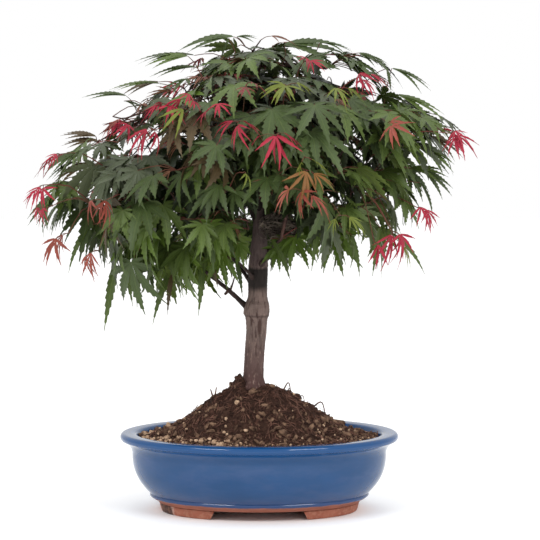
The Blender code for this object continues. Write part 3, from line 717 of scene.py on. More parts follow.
def mottle(tree, place, first, second, scale, stretch=1.0, edge=0.18, level=0.5):
    """The mottle group in a material: its colour and mask."""
    inputs = dict(zip(MOTTLE_INPUTS, (place, first, second, scale, stretch, edge, level)))
    node = add_node(tree, "ShaderNodeGroup", inputs, node_tree=mottle_group())
    return node.outputs["Colour"], node.outputs["Mask"]


def noise_value(tree, place, scale, detail=4.0):
    """Noise from 0 to 1 at that scale."""
    inputs = {"Vector": place, "Scale": scale, "Detail": detail, "Roughness": 0.6}
    return add_node(tree, "ShaderNodeTexNoise", inputs).outputs["Fac"]


def ragged(tree, value, place, scale, reach):
    """The value with noise of that scale and reach added to it."""
    noise = combine(tree, "MULTIPLY", noise_value(tree, place, scale), reach)
    return combine(tree, "ADD", value, noise)


def dimmed(colour, share):
    """The colour times the share."""
    return tuple(channel * share for channel in colour)


def new_finish(name, roughness, specular=0.5):
    """A material with its shader, and its Object coordinates from the pot's middle."""
    finish = bpy.data.materials.new(name)
    finish.use_nodes = True
    tree = finish.node_tree
    shader = tree.nodes["Principled BSDF"]
    shader.inputs["Roughness"].default_value = roughness
    shader.inputs["Specular IOR Level"].default_value = specular
    coordinates = add_node(tree, "ShaderNodeTexCoord").outputs["Object"]
    moved = add_node(tree, "ShaderNodeMapping", {"Vector": coordinates, "Location": tuple(-HOME)})
    return finish, tree, shader, moved.outputs[0]


def set_bump(tree, shader, height, strength, distance):
    """Gives the shader's surface that relief."""
    inputs = {"Height": height, "Strength": strength, "Distance": distance}
    bump = add_node(tree, "ShaderNodeBump", inputs)
    tree.links.new(bump.outputs[0], shader.inputs["Normal"])


def glaze_finish(settings):
    """Blue glaze that runs thin in streaks, with pinholes, over clay that is bare at the foot."""
    finish, tree, shader, place = new_finish("blue glaze", 0.1, 0.42)
    height = add_node(tree, "ShaderNodeSeparateXYZ", {0: place}).outputs[2]
    colour, thin = mottle(tree, place, settings.glaze, settings.thin_glaze, 11.0, 2.2, 0.3)
    colour, _ = mottle(tree, place, colour, GLAZE_STREAK, 26.0, 3.0, 0.2, 0.62)
    near_rim = spread(tree, height, RIM_TOP - 15 * MM, RIM_TOP - 7 * MM, 0.0, 0.7)
    colour = mix_colour(tree, near_rim, colour, GLAZE_AT_RIM)
    # Painted shade: the glaze darkens from just above the ledge down to the foot
    low = spread(tree, height, LEDGE_FOOT + 1 * MM, LEDGE_TOP + 6 * MM, 0.45, 0.0)
    colour = mix_colour(tree, low, colour, GLAZE_SHADE_AT_FOOT)
    speck = add_node(tree, "ShaderNodeTexVoronoi", {"Vector": place, "Scale": 30.0}, feature="F1")
    pinhole = spread(tree, speck.outputs["Distance"], 0.018, 0.03, 1.0, 0.0)
    colour = mix_colour(tree, pinhole, colour, GLAZE_PINHOLE)
    edge = ragged(tree, height, place, 60.0, -3 * MM)
    bare = spread(tree, edge, GLAZE_FOOT - 2.2 * MM, GLAZE_FOOT - 1.2 * MM, 1.0, 0.0)
    clay, _ = mottle(tree, place, settings.clay, CLAY_EDGE, 70.0)
    tree.links.new(mix_colour(tree, bare, colour, clay), shader.inputs["Base Color"])
    shine = combine(tree, "ADD", combine(tree, "MULTIPLY", thin, 0.06), 0.07)
    rough = combine(tree, "ADD", shine, combine(tree, "MULTIPLY", bare, 0.6))
    tree.links.new(rough, shader.inputs["Roughness"])
    set_bump(tree, shader, noise_value(tree, place, 70.0, 2.0), 0.25, 0.4 * MM)
    return finish


def clay_finish(settings):
    """Bare fired clay, mottled, with a dark stain with a pale crust at the front left."""
    finish, tree, shader, place = new_finish("bare clay", 0.75, 0.3)
    colour, _ = mottle(tree, place, settings.clay, CLAY_DARK, 60.0)
    colour, _ = mottle(tree, place, colour, CLAY_PALE, 240.0, 1.0, 0.14, 0.55)
    away = vector_math(tree, "DISTANCE", place, STAIN_PLACE)
    reach = ragged(tree, away, place, 130.0, 14 * MM)
    crust = spread(tree, reach, 21 * MM, 24 * MM, 0.5, 0.0)
    stain = spread(tree, reach, 18 * MM, 20 * MM, 1.0, 0.0)
    colour = mix_colour(tree, crust, colour, STAIN_CRUST)
    dirt, _ = mottle(tree, place, STAIN_DARK, STAIN_PALE, 320.0, 1.0, 0.2, 0.55)
    colour = mix_colour(tree, stain, colour, dirt)
    tree.links.new(colour, shader.inputs["Base Color"])
    set_bump(tree, shader, noise_value(tree, place, 500.0), 0.5, 0.3 * MM)
    return finish


def matt_finish(name, first=None):
    """One of the matt finishes: two mottled colours, and a fine relief."""
    own, second, scale, relief, depth, roughness = MATT_FINISHES[name]
    finish, tree, shader, place = new_finish(name, roughness, 0.15)
    colour, _ = mottle(tree, place, first or own, second, scale)
    tree.links.new(colour, shader.inputs["Base Color"])
    set_bump(tree, shader, noise_value(tree, place, relief), 0.7, depth)
    return finish


def bark_finish(name, colour):
    """Grey-brown bark, fissured along it: redder at its foot, with painted shade in a crease and a
    dark streak at the graft, a dark band above it, and duller towards the top.
    """
    finish, tree, shader, place = new_finish(name, 0.82, 0.3)
    height = add_node(tree, "ShaderNodeSeparateXYZ", {0: place}).outputs[2]
    shade, _ = mottle(tree, place, dimmed(colour, 0.8), dimmed(colour, 1.35), 60.0, 0.4)
    low = spread(tree, height, 125 * MM, 190 * MM, 0.9, 0.0)
    shade = mix_colour(tree, low, shade, BARK_FOOT)
    shade, _ = mottle(tree, place, shade, BARK_FLECK, 420.0, 0.25, 0.08, 0.62)
    shade, _ = mottle(tree, place, BARK_PIT, shade, 330.0, 0.2, 0.10, 0.42)
    shade, fissure = mottle(tree, place, dimmed(colour, 0.38), shade, 150.0, 0.1, 0.1, 0.36)
    # Painted shade: a thin dark line in the crease at the foot of the graft's lip
    crease_shade = combine(tree, "ABSOLUTE", combine(tree, "SUBTRACT", height, CREASE_HEIGHT), 0.0)
    crease_shade = spread(tree, crease_shade, 0.2 * MM, 1.8 * MM, 0.5, 0.0)
    shade = mix_colour(tree, crease_shade, shade, BARK_CREASE_SHADE)
    aside = vector_math(tree, "SUBTRACT", place, DARK_STREAK)
    away = vector_math(tree, "LENGTH", vector_math(tree, "MULTIPLY", aside, (1.0, 1.0, 0.22)))
    streak = spread(tree, ragged(tree, away, place, 400.0, 2 * MM), 2.4 * MM, 4.0 * MM, 0.8, 0.0)
    shade = mix_colour(tree, streak, shade, BARK_STREAK)
    level = ragged(tree, height, place, 120.0, 3 * MM)
    above = spread(tree, level, DARK_BAND[0] - 6 * MM, DARK_BAND[0] + 4 * MM)
    below = spread(tree, level, DARK_BAND[1] - 1 * MM, DARK_BAND[1] + 3 * MM, 1.0, 0.0)
    high = spread(tree, height, 234 * MM, 256 * MM, 0.0, 0.6)
    shade = mix_colour(tree, high, shade, BARK_HIGH)
    band = combine(tree, "MULTIPLY", combine(tree, "MULTIPLY", above, below), 0.93)
    shade = mix_colour(tree, band, shade, BARK_BAND)
    tree.links.new(shade, shader.inputs["Base Color"])
    grain = ragged(tree, combine(tree, "MULTIPLY", fissure, 0.8), place, 900.0, 1.0)
    set_bump(tree, shader, grain, 0.6, 0.5 * MM)
    return finish


def leaf_finish(name, colour, back, roughness=0.45):
    """A leaf's finish: pale ribs and fine veins on its own plan, and a lighter back."""
    finish, tree, shader, place = new_finish(name, roughness, 0.28)
    plan = add_node(tree, "ShaderNodeUVMap", uv_map="blade").outputs[0]
    axes = add_node(tree, "ShaderNodeSeparateXYZ", {0: plan}).outputs
    out = combine(tree, "ABSOLUTE", axes[1], 0.0)
    rib = spread(tree, out, 0.03, 0.13, 1.0, 0.0)
    slant = combine(tree, "SUBTRACT", axes[0], combine(tree, "MULTIPLY", out, 0.16))
    wave = combine(tree, "SINE", combine(tree, "MULTIPLY", slant, 75.0), 0.0)
    vein = combine(tree, "MULTIPLY", spread(tree, wave, 0.72, 1.0), 0.3)
    line = combine(tree, "MAXIMUM", combine(tree, "MULTIPLY", rib, 0.55), vein)
    shade, _ = mottle(tree, place, colour, dimmed(colour, 0.72), 30.0, 1.0, 0.2)
    shade = mix_colour(tree, line, shade, back)
    red, green, blue = dimmed(colour, 0.5)
    rim = spread(tree, out, 0.82, 1.0, 0.0, 0.35)
    shade = mix_colour(tree, rim, shade, (red + 0.02, green, blue))
    facing = add_node(tree, "ShaderNodeNewGeometry").outputs["Backfacing"]
    tree.links.new(mix_colour(tree, facing, shade, back), shader.inputs["Base Color"])
    set_bump(tree, shader, combine(tree, "ADD", vein, rib), 0.35, 0.35 * MM)
    return finish


def belly_inset(height):
    """The outer wall's inset: the ledge's and the neck's, blended by a power of the height."""
    share = (NECK_HEIGHT - height) / (NECK_HEIGHT - LEDGE_TOP)
    return NECK_INSET + (LEDGE_INSET - NECK_INSET) * max(share, 0) ** BELLY_POWER


def pot_section():
    """The pot's section as (inset, height), from the middle of its underside round to its floor."""
    neck, lip = np.array([NECK_INSET, NECK_HEIGHT]), np.array([1.4 * MM, RIM_TOP - 7.1 * MM])
    bend = neck + np.array([-1.5 * MM, 8 * MM])
    flare = []
    for step in range(1, FLARE_STEPS + 1):
        t = step / FLARE_STEPS
        flare.append(tuple((1 - t) ** 2 * neck + 2 * t * (1 - t) * bend + t**2 * lip))
    roll = []
    for step in range(ROLL_STEPS + 1):
        turn = math.radians(ROLL_START + ROLL_SWEEP * step / ROLL_STEPS)
        inset = RIM_ROLL_RADIUS - RIM_ROLL_RADIUS * math.cos(turn)
        roll.append((inset, RIM_TOP - RIM_ROLL_RADIUS + RIM_ROLL_RADIUS * math.sin(turn)))
    rise = NECK_HEIGHT - LEDGE_TOP
    belly = [LEDGE_TOP + rise * step / BELLY_STEPS for step in range(BELLY_STEPS + 1)]
    inside = [height for height in reversed(belly) if height > FLOOR_HEIGHT + 4 * MM]
    return [
        (UNDERSIDE_INSET + 1.2 * MM, UNDERSIDE_HEIGHT),
        (UNDERSIDE_INSET, UNDERSIDE_HEIGHT + 0.2 * MM),
        (UNDERSIDE_INSET - 0.6 * MM, UNDERSIDE_HEIGHT + 0.9 * MM),
        (UNDERSIDE_INSET - 1.2 * MM, UNDERSIDE_HEIGHT + 2.0 * MM),
        (LEDGE_INSET + 3 * MM, LEDGE_FOOT - 1.7 * MM),
        (LEDGE_INSET + 1 * MM, LEDGE_FOOT - 0.4 * MM),
        (LEDGE_INSET - 0.4 * MM, LEDGE_FOOT + 0.9 * MM),
        (LEDGE_INSET - 0.6 * MM, LEDGE_FOOT + 1.9 * MM),
        (LEDGE_INSET + 0.1 * MM, LEDGE_TOP - 0.6 * MM),
        *[(belly_inset(height), height) for height in belly[1:]],
        *flare,
        *roll,
        (6 * MM, RIM_TOP),
        (10 * MM, RIM_TOP - 0.15 * MM),
        (RIM_SHELF - 3 * MM, RIM_TOP - 0.45 * MM),
        (RIM_SHELF - 1 * MM, RIM_TOP - 1 * MM),
        (RIM_SHELF, RIM_TOP - 2.2 * MM),
        (RIM_SHELF + 0.6 * MM, RIM_TOP - 4 * MM),
        (NECK_INSET + WALL, RIM_TOP - 9 * MM),
        *[(belly_inset(height) + WALL, height) for height in inside],
        (LEDGE_INSET + WALL + 2 * MM, FLOOR_HEIGHT),
    ]


def oval(inset, height, turns, settings):
    """Points of the pot's outline at that inset: half axes less the inset, by cosine and sine."""
    across = (settings.length / 2 - inset) * np.cos(turns)
    back = (settings.width / 2 - inset) * np.sin(turns)
    return np.stack([across, back, height + 0 * across], axis=-1)


class BONSAI_OT_pot(bpy.types.Operator):
    """Makes the glazed bowl with its rolled rim and drain holes"""

    bl_idname = "bonsai.pot"
    bl_label = "Pot"

    def execute(self, context):
        settings = context.scene.bonsai_pot
        section = np.array(pot_section())
        turns = 2 * np.pi * np.arange(POT_SIDES) / POT_SIDES
        rings = [oval(inset, height, turns, settings) for inset, height in section]
        points = np.concatenate(rings)
        glazed = (points[:, 2] > LEDGE_FOOT) & (points[:, 2] < RIM_TOP - 5 * MM)
        ripple = glazed * lattice_noise(points, GLAZE_RIPPLE_CELL, 4) * GLAZE_RIPPLE
        points += unit(points * (1, 1, 0)) * ripple[:, None]
        faces = [grid_faces(len(section), POT_SIDES), end_faces(len(section), POT_SIDES)]
        pot = new_piece("glazed_bowl", points, faces, glaze_finish(settings))
        for side in (-1, 1):
            bpy.ops.mesh.primitive_cylinder_add(
                vertices=DRAIN_HOLE_SIDES,
                radius=DRAIN_HOLE_RADIUS,
                depth=4 * FLOOR_HEIGHT,
                location=(HOME[0] + side * DRAIN_HOLE_SPACING / 2, HOME[1], 0),
            )
            drill = context.object
            bore = pot.modifiers.new("drain hole", "BOOLEAN")
            bore.operation = "DIFFERENCE"
            bore.solver = "EXACT"
            bore.object = drill
            with context.temp_override(object=pot, active_object=pot):
                bpy.ops.object.modifier_apply(modifier=bore.name)
            bpy.data.objects.remove(drill)
        pot.data.set_sharp_from_angle(angle=SHARP_ANGLE)
        place_piece(pot, "glazed_pot", "pot")
        return {"FINISHED"}


def foot_ring(side, settings):
    """One end's foot: a rounded section carried round the oval, from one open end to the other.

    Across the section, the place is a superellipse: inset and height each by a low power of the
    cosine or sine. Along it, the turn runs from the front gap to the back one, and the foot slopes
    out downwards at its ends and at its outer side.
    """
    section = 2 * np.pi * (np.arange(FOOT_SIDES) + 0.5) / FOOT_SIDES
    cosine, sine = np.cos(section), np.sin(section)
    out = np.sign(cosine) * np.abs(cosine) ** FOOT_POWER
    up = (np.sign(sine) * np.abs(sine) ** FOOT_POWER + 1) / 2
    inset = FOOT_TOP_INSET + FOOT_SPLAY * (1 - up) + FOOT_WIDTH * (1 - out) / 2
    gap = FOOT_GAP_HALF + FOOT_END_SLOPE * (1 - up)
    half_length = settings.length / 2 - inset
    last = np.arccos(gap / half_length)
    along = np.linspace(-1, 1, FOOT_STEPS)
    near_end = np.maximum(np.abs(along) * FOOT_STEPS - (FOOT_STEPS - 1.5), 0)[:, None]
    height = FOOT_HEIGHT * (0.5 + (up - 0.5) * (1 - FOOT_ROUNDING * near_end))
    points = oval(inset, height, along[:, None] * last, settings)
    points[..., 0] *= side
    return points if side < 0 else points[:, ::-1]


class BONSAI_OT_feet(bpy.types.Operator):
    """Makes the foot ring's two halves, open at the front and the back"""

    bl_idname = "bonsai.feet"
    bl_label = "Feet"

    def execute(self, context):
        finish = clay_finish(context.scene.bonsai_pot)
        for name, side in (("left", -1), ("right", 1)):
            points = foot_ring(side, context.scene.bonsai_pot)
            rows, columns = points.shape[:2]
            faces = [grid_faces(rows, columns), end_faces(rows, columns)]
            foot = new_piece(f"foot_ring_{name}", points.reshape(-1, 3), faces, finish)
            foot.data.set_sharp_from_angle(angle=SHARP_ANGLE)
            place_piece(foot, "bare_clay", f"foot_front_{name}", f"foot_back_{name}")
        return {"FINISHED"}


def soil_height(across, back):
    """The mound's height: half a cosine wave from its middle out to the edge, with lumps."""
    settings = bpy.context.scene.bonsai_pot
    foot = np.array(TRUNK_STATIONS_MM[0][:2]) * MM
    half = np.array([settings.length / 2 - SOIL_EDGE_INSET, settings.width / 2 - SOIL_EDGE_INSET])
    place = np.stack([across, back], axis=-1)
    turn = np.arctan2(place[..., 1] - foot[1], place[..., 0] - foot[0])
    away = np.linalg.norm(place - foot, axis=-1)
    ahead = half[0] - foot[0] * np.sign(np.cos(turn))
    edge = 1 / np.hypot(np.cos(turn) / ahead, np.sin(turn) / half[1])
    share = np.minimum(away / edge, 1)
    flat = np.concatenate([place, np.zeros_like(place[..., :1])], axis=-1)
    lumps = layered_noise(flat, 16 * MM, 31, 4) * SOIL_ROUGHNESS * np.minimum((1 - share) * 5, 1)
    lump_across, lump_back, rise, width = SOIL_LUMP
    from_lump = (across - lump_across) ** 2 + (back - lump_back) ** 2
    lump = rise * np.exp(-from_lump / width**2)
    return SOIL_EDGE_HEIGHT + MOUND_RISE * (0.5 + 0.5 * np.cos(np.pi * share)) + lumps + lump


def scattered(rng, count, power, drift=0.0):
    """Random places on the soil, as an array, and which way is up there.

    The share of the way out is a power of a random number. The share that drifts lies near the
    edge at the front left.
    """
    settings = bpy.context.scene.bonsai_pot
    turn = rng.uniform(0, 2 * np.pi, count)
    share = rng.random(count) ** power
    drawn = rng.random(count) < drift
    turn = np.where(drawn, np.radians(rng.normal(*DRIFT_TURN, count)), turn)
    share = np.where(drawn, rng.uniform(*DRIFT_SHARES, count), share)
    across = (settings.length / 2 - SOIL_EDGE_INSET - 1 * MM) * share * np.cos(turn)
    back = (settings.width / 2 - SOIL_EDGE_INSET - 1 * MM) * share * np.sin(turn)
    clear = np.hypot(across - TRUNK_STATIONS_MM[0][0] * MM, back) > TRUNK_CLEARANCE
    across, back = across[clear], back[clear]
    height, step = soil_height(across, back), 1 * MM
    falls = [height - soil_height(across + step, back), height - soil_height(across, back + step)]
    up = unit(np.stack([*falls, np.full_like(across, step)], axis=-1))
    return np.stack([across, back, height], axis=-1), up


def lump_mesh(seed, rows, columns):
    """A small stone: a sphere by latitude and longitude, its radius varied by noise."""
    latitude = np.pi * (np.arange(rows) + 0.5) / rows - np.pi / 2
    longitude = 2 * np.pi * np.arange(columns) / columns
    ring, rise = np.cos(latitude)[:, None], np.sin(latitude)[:, None]
    axes = [ring * np.cos(longitude), ring * np.sin(longitude), rise + 0 * longitude]
    points = np.stack(axes, axis=-1).reshape(-1, 3)
    points *= (1 + 0.42 * lattice_noise(points, 0.8, seed))[:, None]
    return points, grid_faces(rows, columns), end_faces(rows, columns)


def litter(name, rng, places, sizes, shape, seed, finish, detail=(5, 7)):
    """Many lumps joined in one piece: random turns of a few shapes, each squashed by its sizes."""
    kinds = rng.integers(0, LITTER_SHAPES, len(places))
    points, quads, ends, count = [], [], [], 0
    for kind in range(LITTER_SHAPES):
        chosen = kinds == kind
        lump, lump_quads, lump_ends = lump_mesh(seed + kind, *detail)
        turns = random_turns(rng, int(chosen.sum())) * (sizes[chosen][:, None, None])
        made, faces = copies(lump * shape, lump_quads, turns, places[chosen])
        caps = copies(lump * shape, lump_ends, turns, places[chosen])[1]
        points.append(made)
        quads.append(faces + count)
        ends.append(caps + count)
        count += len(made)
    faces = [np.concatenate(quads), np.concatenate(ends)]
    return new_piece(name, np.concatenate(points), faces, finish)


class BONSAI_OT_soil(bpy.types.Operator):
    """Makes the soil's rough surface and its body inside the pot"""

    bl_idname = "bonsai.soil"
    bl_label = "Soil"

    def execute(self, context):
        settings = context.scene.bonsai_pot
        turns = 2 * np.pi * np.arange(SOIL_SIDES) / SOIL_SIDES
        levels = (
            (LEDGE_INSET + WALL + 4 * MM, FLOOR_HEIGHT + 1 * MM),
            (LEDGE_INSET + WALL, 24 * MM),
            (belly_inset(36 * MM) + WALL + 0.4 * MM, 36 * MM),
            (NECK_INSET + WALL + 0.4 * MM, NECK_HEIGHT),
            (SOIL_EDGE_INSET + 0.7 * MM, SOIL_EDGE_HEIGHT - 5 * MM),
        )
        rings = [oval(inset, height, turns, settings) for inset, height in levels]
        edge = oval(SOIL_EDGE_INSET - 0.6 * MM, SOIL_EDGE_HEIGHT, turns, settings)
        foot = np.array([*TRUNK_STATIONS_MM[0][:2], 0]) * MM
        for share in np.linspace(1, SOIL_INNER_SHARE, SOIL_RINGS):
            ring = foot + (edge - foot) * share
            ring[:, 2] = soil_height(ring[:, 0], ring[:, 1])
            rings.append(ring)
        points = np.concatenate(rings)
        faces = [grid_faces(len(rings), SOIL_SIDES), end_faces(len(rings), SOIL_SIDES)]
        finish = matt_finish("peat", tuple(context.scene.bonsai_soil.earth))
        place_piece(new_piece("soil_surface", points, faces, finish), "soil", "soil_mound")
        return {"FINISHED"}


class BONSAI_OT_litter(bpy.types.Operator):
    """Strews crumbs, grains, bark chips and fine roots over the soil"""

    bl_idname = "bonsai.litter"
    bl_label = "Litter"

    def execute(self, context):
        settings = context.scene.bonsai_soil
        rng = np.random.default_rng(LITTER_SEED)
        dark, pale = tuple(settings.earth), tuple(settings.grain)
        places, _ = scattered(rng, settings.crumbs, 0.6)
        sizes = rng.lognormal(np.log(1.3 * MM), 0.42, len(places))
        finish = matt_finish("crumbs", dark)
        piece = litter("soil_crumbs", rng, places, sizes, (1, 0.85, 0.7), 10, finish, (4, 6))
        place_piece(piece, "soil", "soil_mound")
        places, ups = scattered(rng, settings.grains, 0.22, 0.7)
        sizes = rng.lognormal(np.log(1.95 * MM), 0.26, len(places))
        sizes *= 1 - 0.35 * (places[:, 0] > -20 * MM)
        apart = np.linalg.norm(places[:, None] - places, axis=-1)
        close = apart < 0.8 * (sizes[:, None] + sizes)
        free = ~np.tril(close, -1).any(axis=1)
        places, ups, sizes = places[free], ups[free], sizes[free]
        places = places + ups * sizes[:, None] * 0.5
        finish = matt_finish("grains", pale)
        piece = litter("soil_grains", rng, places, sizes, (1, 0.92, 0.8), 20, finish)
        place_piece(piece, "soil", "soil_mound")
        places, ups = scattered(rng, settings.chips, 0.36)
        sizes = rng.lognormal(np.log(2.9 * MM), 0.35, len(places))
        places, finish = places + ups * 0.5 * MM, matt_finish("chips")
        piece = litter("soil_chips", rng, places, sizes, (1, 0.55, 0.34), 30, finish)
        place_piece(piece, "soil", "soil_mound")
        place_piece(self.fibres(rng, settings.fibres), "soil", "soil_mound")
        return {"FINISHED"}

    def fibres(self, rng, count):
        """Fine roots: each starts on the soil and wanders, by summed random turns, near to it."""
        places, _ = scattered(rng, count, 0.5)
        each = (len(places), 1)
        heading = rng.uniform(0, 2 * np.pi, each)
        turns = heading + np.cumsum(rng.normal(0, 0.38, (len(places), FIBRE_STEPS)), axis=1)
        stride = rng.uniform(1.0, 3.4, each) * MM
        strides = np.stack([np.cos(turns), np.sin(turns)], axis=-1) * stride[..., None]
        path = places[:, None, :2] + np.cumsum(strides, axis=1)
        across, back = FIBRE_REACH_MM
        reach = np.hypot(path[..., 0] / across, path[..., 1] / back) / MM
        path /= np.maximum(reach, 1)[..., None]
        rise = rng.uniform(0.3, 2.4, each) * MM
        rise += (rng.random(each) < 0.03) * 4 * MM
        arch = np.sin(np.linspace(0.1, np.pi - 0.1, FIBRE_STEPS)) * rise
        height = soil_height(path[..., 0], path[..., 1]) + arch
        radii = rng.uniform(0.2, 0.55, each) * MM * np.linspace(1, 0.55, FIBRE_STEPS)
        loose = np.concatenate([path, height[..., None]], axis=-1)
        risen, risen_radii = self.risen()
        paths, radii = np.concatenate([loose, risen]), np.concatenate([radii, risen_radii])
        points, faces = tubes(paths, radii, FINE_SIDES)
        return new_piece("soil_fibres", points, faces, matt_finish("fine roots"))

    def risen(self):
        """The roots that stand clear of the mound: each a curve through its foot, top and end.

        One with a short run stands up with a free end, and a longer one loops back to the soil.
        """
        paths, radii = [], []
        for across, back, rise, run, radius in RISEN_ROOTS:
            foot = np.array([across, back, 0]) * MM
            end = foot + np.array([run, 0, 0]) * MM
            foot[2], end[2] = soil_height(*foot[:2]) - 1 * MM, soil_height(*end[:2]) - 1 * MM
            upright = abs(run) < rise / 2
            if upright:
                end[2] += rise * MM
            loop = np.array([0.2 * run, 0, 1.1 * rise]) * MM * (not upright)
            paths.append(through([foot, (foot + end) / 2 + loop, end], FIBRE_STEPS))
            radii.append(np.linspace(radius, 0.5 * radius, FIBRE_STEPS) * MM)
        return np.array(paths), np.array(radii)


def trunk_middle(height):
    """The middle of the trunk at that height."""
    places = [Vector(station[:3]) * MM for station in TRUNK_STATIONS_MM]
    for low, high in zip(places, places[1:]):
        if low.z <= height <= high.z:
            return low.lerp(high, (height - low.z) / (high.z - low.z))
    return places[-1]


class BONSAI_OT_trunk(bpy.types.Operator):
    """Makes the trunk with its flare, graft and fissured bark"""

    bl_idname = "bonsai.trunk"
    bl_label = "Trunk"

    def execute(self, context):
        curve = through(np.array(TRUNK_STATIONS_MM) * MM, TRUNK_ROWS)
        curve[:, 2] = np.maximum.accumulate(curve[:, 2])
        turns = 2 * np.pi * np.arange(TRUNK_SIDES) / TRUNK_SIDES
        height = curve[:, 2][:, None] + 0 * turns
        ring = [np.cos(turns) + 0 * height, np.sin(turns) + 0 * height]
        round_trip = np.stack([*ring, height / MM], axis=-1)
        fissures = np.abs(layered_noise(round_trip * (1, 1, 0.035), 0.22, 3, 3))
        lumps = lattice_noise(round_trip * (1, 1, 0.05), 0.9, 8)
        grain = layered_noise(round_trip * (1, 1, 0.25), 0.16, 9, 2)
        old = np.clip((260 * MM - height) / (80 * MM), 0.25, 1)
        flare = np.exp(-(height - curve[0, 2]) / (7 * MM))
        buttress = flare * (1.6 * np.cos(4 * turns + 0.7) + 0.9 * np.cos(7 * turns + 2)) * MM
        above = np.maximum(height - GRAFT_HEIGHT - 6 * MM, 0)
        lip = 1 / (1 + np.exp((GRAFT_HEIGHT - 5 * MM + lumps * MM - height) / (0.5 * MM)))
        graft = lip * np.exp(-((above / (7 * MM)) ** 2)) * (1.1 + 0.4 * lumps) * MM
        relief = old * (0.5 * fissures - 0.2) * MM + 0.45 * lumps * old * MM + 0.2 * grain * MM
        scale = np.minimum(curve[:, 3][:, None] / (9 * MM), 1)
        radius = curve[:, 3][:, None] + relief * scale - 0.35 * MM + buttress + graft
        across = curve[:, 0][:, None] + radius * np.cos(turns)
        back = curve[:, 1][:, None] + radius * np.sin(turns)
        sunk = height - (height < curve[0, 2] + 1e-6) * 3 * MM
        points = np.stack([across, back, sunk], axis=-1).reshape(-1, 3)
        faces = [grid_faces(TRUNK_ROWS, TRUNK_SIDES), end_faces(TRUNK_ROWS, TRUNK_SIDES)]
        bark = bark_finish("trunk bark", tuple(context.scene.bonsai_tree.bark))
        place_piece(new_piece("trunk_bark", points, faces, bark), "bark", "trunk")
        return {"FINISHED"}


class Mass:
    """One mass's entry in the table, by name."""

    def __init__(self, name, fullness):
        self.name = name
        self.ring, self.direction, foot, out, tip, radius, sprays, self.seed = MASSES[name]
        self.foot, self.radius = foot * MM, radius * MM
        self.tip_out, self.tip_height = out * MM, tip * MM
        self.sprays = round(sprays * fullness)


def bough_path(mass, steps=5):
    """The bough's middle line: it leaves the trunk rising and flattens towards its mass."""
    start, turn = trunk_middle(mass.foot), math.radians(mass.direction)
    end = CROWN_AXIS + Vector((math.cos(turn), math.sin(turn), 0)) * mass.tip_out
    end.z = mass.tip_height
    rise = end - start
    bend = start + rise * 0.5 + Vector((0, 0, BOUGH_ARCH * rise.length))
    path = []
    for step in range(steps + 1):
        t = step / steps
        path.append(start * (1 - t) ** 2 + bend * (2 * t * (1 - t)) + end * t**2)
    return path


class BONSAI_OT_boughs(bpy.types.Operator):
    """Makes each bough as a tapering limb with a collar where it leaves the trunk"""

    bl_idname = "bonsai.boughs"
    bl_label = "Boughs"

    def execute(self, context):
        bark = matt_finish("bough bark")
        share = np.linspace(0, 1, BOUGH_ROWS)
        for name in MASSES:
            mass = Mass(name, 1)
            if mass.ring == "top":
                continue
            curve = through([tuple(place) for place in bough_path(mass, 9)], BOUGH_ROWS)
            wander = [lattice_noise(curve + k, 18 * MM, mass.seed + k) for k in range(3)]
            curve += np.stack(wander, axis=-1) * (1.1 * MM * np.sin(np.pi * share))[:, None]
            away = np.linalg.norm((curve - curve[0])[:, :2], axis=-1)
            swell = BOUGH_SLIMMER * mass.radius - BOUGH_TIP_RADIUS
            radii = BOUGH_TIP_RADIUS + swell * (1 - share)
            radii = radii * (0.84 + 0.55 * np.exp(-np.maximum(away - 8 * MM, 0) / (5 * MM)))
            points, faces = tubes(curve[None], radii[None], BOUGH_SIDES)
            outward = unit(points - np.repeat(curve, BOUGH_SIDES, axis=0))
            relief = layered_noise(points * (1, 1, 0.6), 3 * MM, mass.seed, 2) * 0.3 * MM
            points = points + outward * relief[:, None]
            limb = new_piece(f"bough_{name}_bark", points, faces, bark)
            place_piece(limb, "bark", f"bough_{name}")
        return {"FINISHED"}


def owner(place):
    """The mass in whose space a place is."""
    out = place - CROWN_AXIS
    ring = "top" if place.z > TOP_FOOT else "upper"
    if place.z + LAYER_SLOPE * out.to_2d().length < LAYER_HEIGHT:
        ring = "lower"
    heading = math.atan2(out.y, out.x)
    return max(
        [name for name, mass in MASSES.items() if mass[0] == ring],
        key=lambda name: math.cos(heading - math.radians(MASSES[name][1])),
    )


def crown_reach(turn, height):
    """How far leaf tips reach from the crown's axis in that direction at that height.

    At each height the outline is half an ellipse on the left and another on the right, and their
    half axes are blended evenly between the table's rows.
    """
    heights, *sides = CROWN_ROWS.T
    left, right, depth = (np.interp(height, heights, column) for column in sides)
    side = np.where(np.cos(turn) > 0, right, left)
    return 1 / np.hypot(np.cos(turn) / side, np.sin(turn) / depth)


def in_crown(places):
    """Whether all of the places, an array, are inside the crown's outline."""
    out = places[:, :2] - np.array(CROWN_AXIS[:2])
    if places[:, 2].min() < CROWN_ROWS[0, 0] or places[:, 2].max() > CROWN_ROWS[-1, 0]:
        return False
    reach = crown_reach(np.arctan2(out[:, 1], out[:, 0]), places[:, 2])
    return bool((np.linalg.norm(out, axis=1) < reach + CROWN_SLACK).all())


def as_seen(places):
    """Across and height in mm where rays from the eye through the places cross the pot's middle."""
    eye = np.array([EYE_ACROSS, EYE_HEIGHT])
    nearer = EYE_DISTANCE / (EYE_DISTANCE + places[:, 1:2])
    return (eye + (places[:, (0, 2)] - eye) * nearer) / MM


def in_window(places):
    """Whether any of the places, an array, would cover what the photograph shows bare.

    A window of sky has to be clear through the whole crown, and the wood only in front of it.
    """
    seen = as_seen(places)
    for windows, deepest in ((SKY, 1), (BARE, 0)):
        rows = np.array(windows)
        apart = np.linalg.norm(seen[:, None] - rows[:, :2], axis=-1)
        if ((apart < rows[:, 2]) & (places[:, 1:2] < deepest)).any():
            return True
    return False


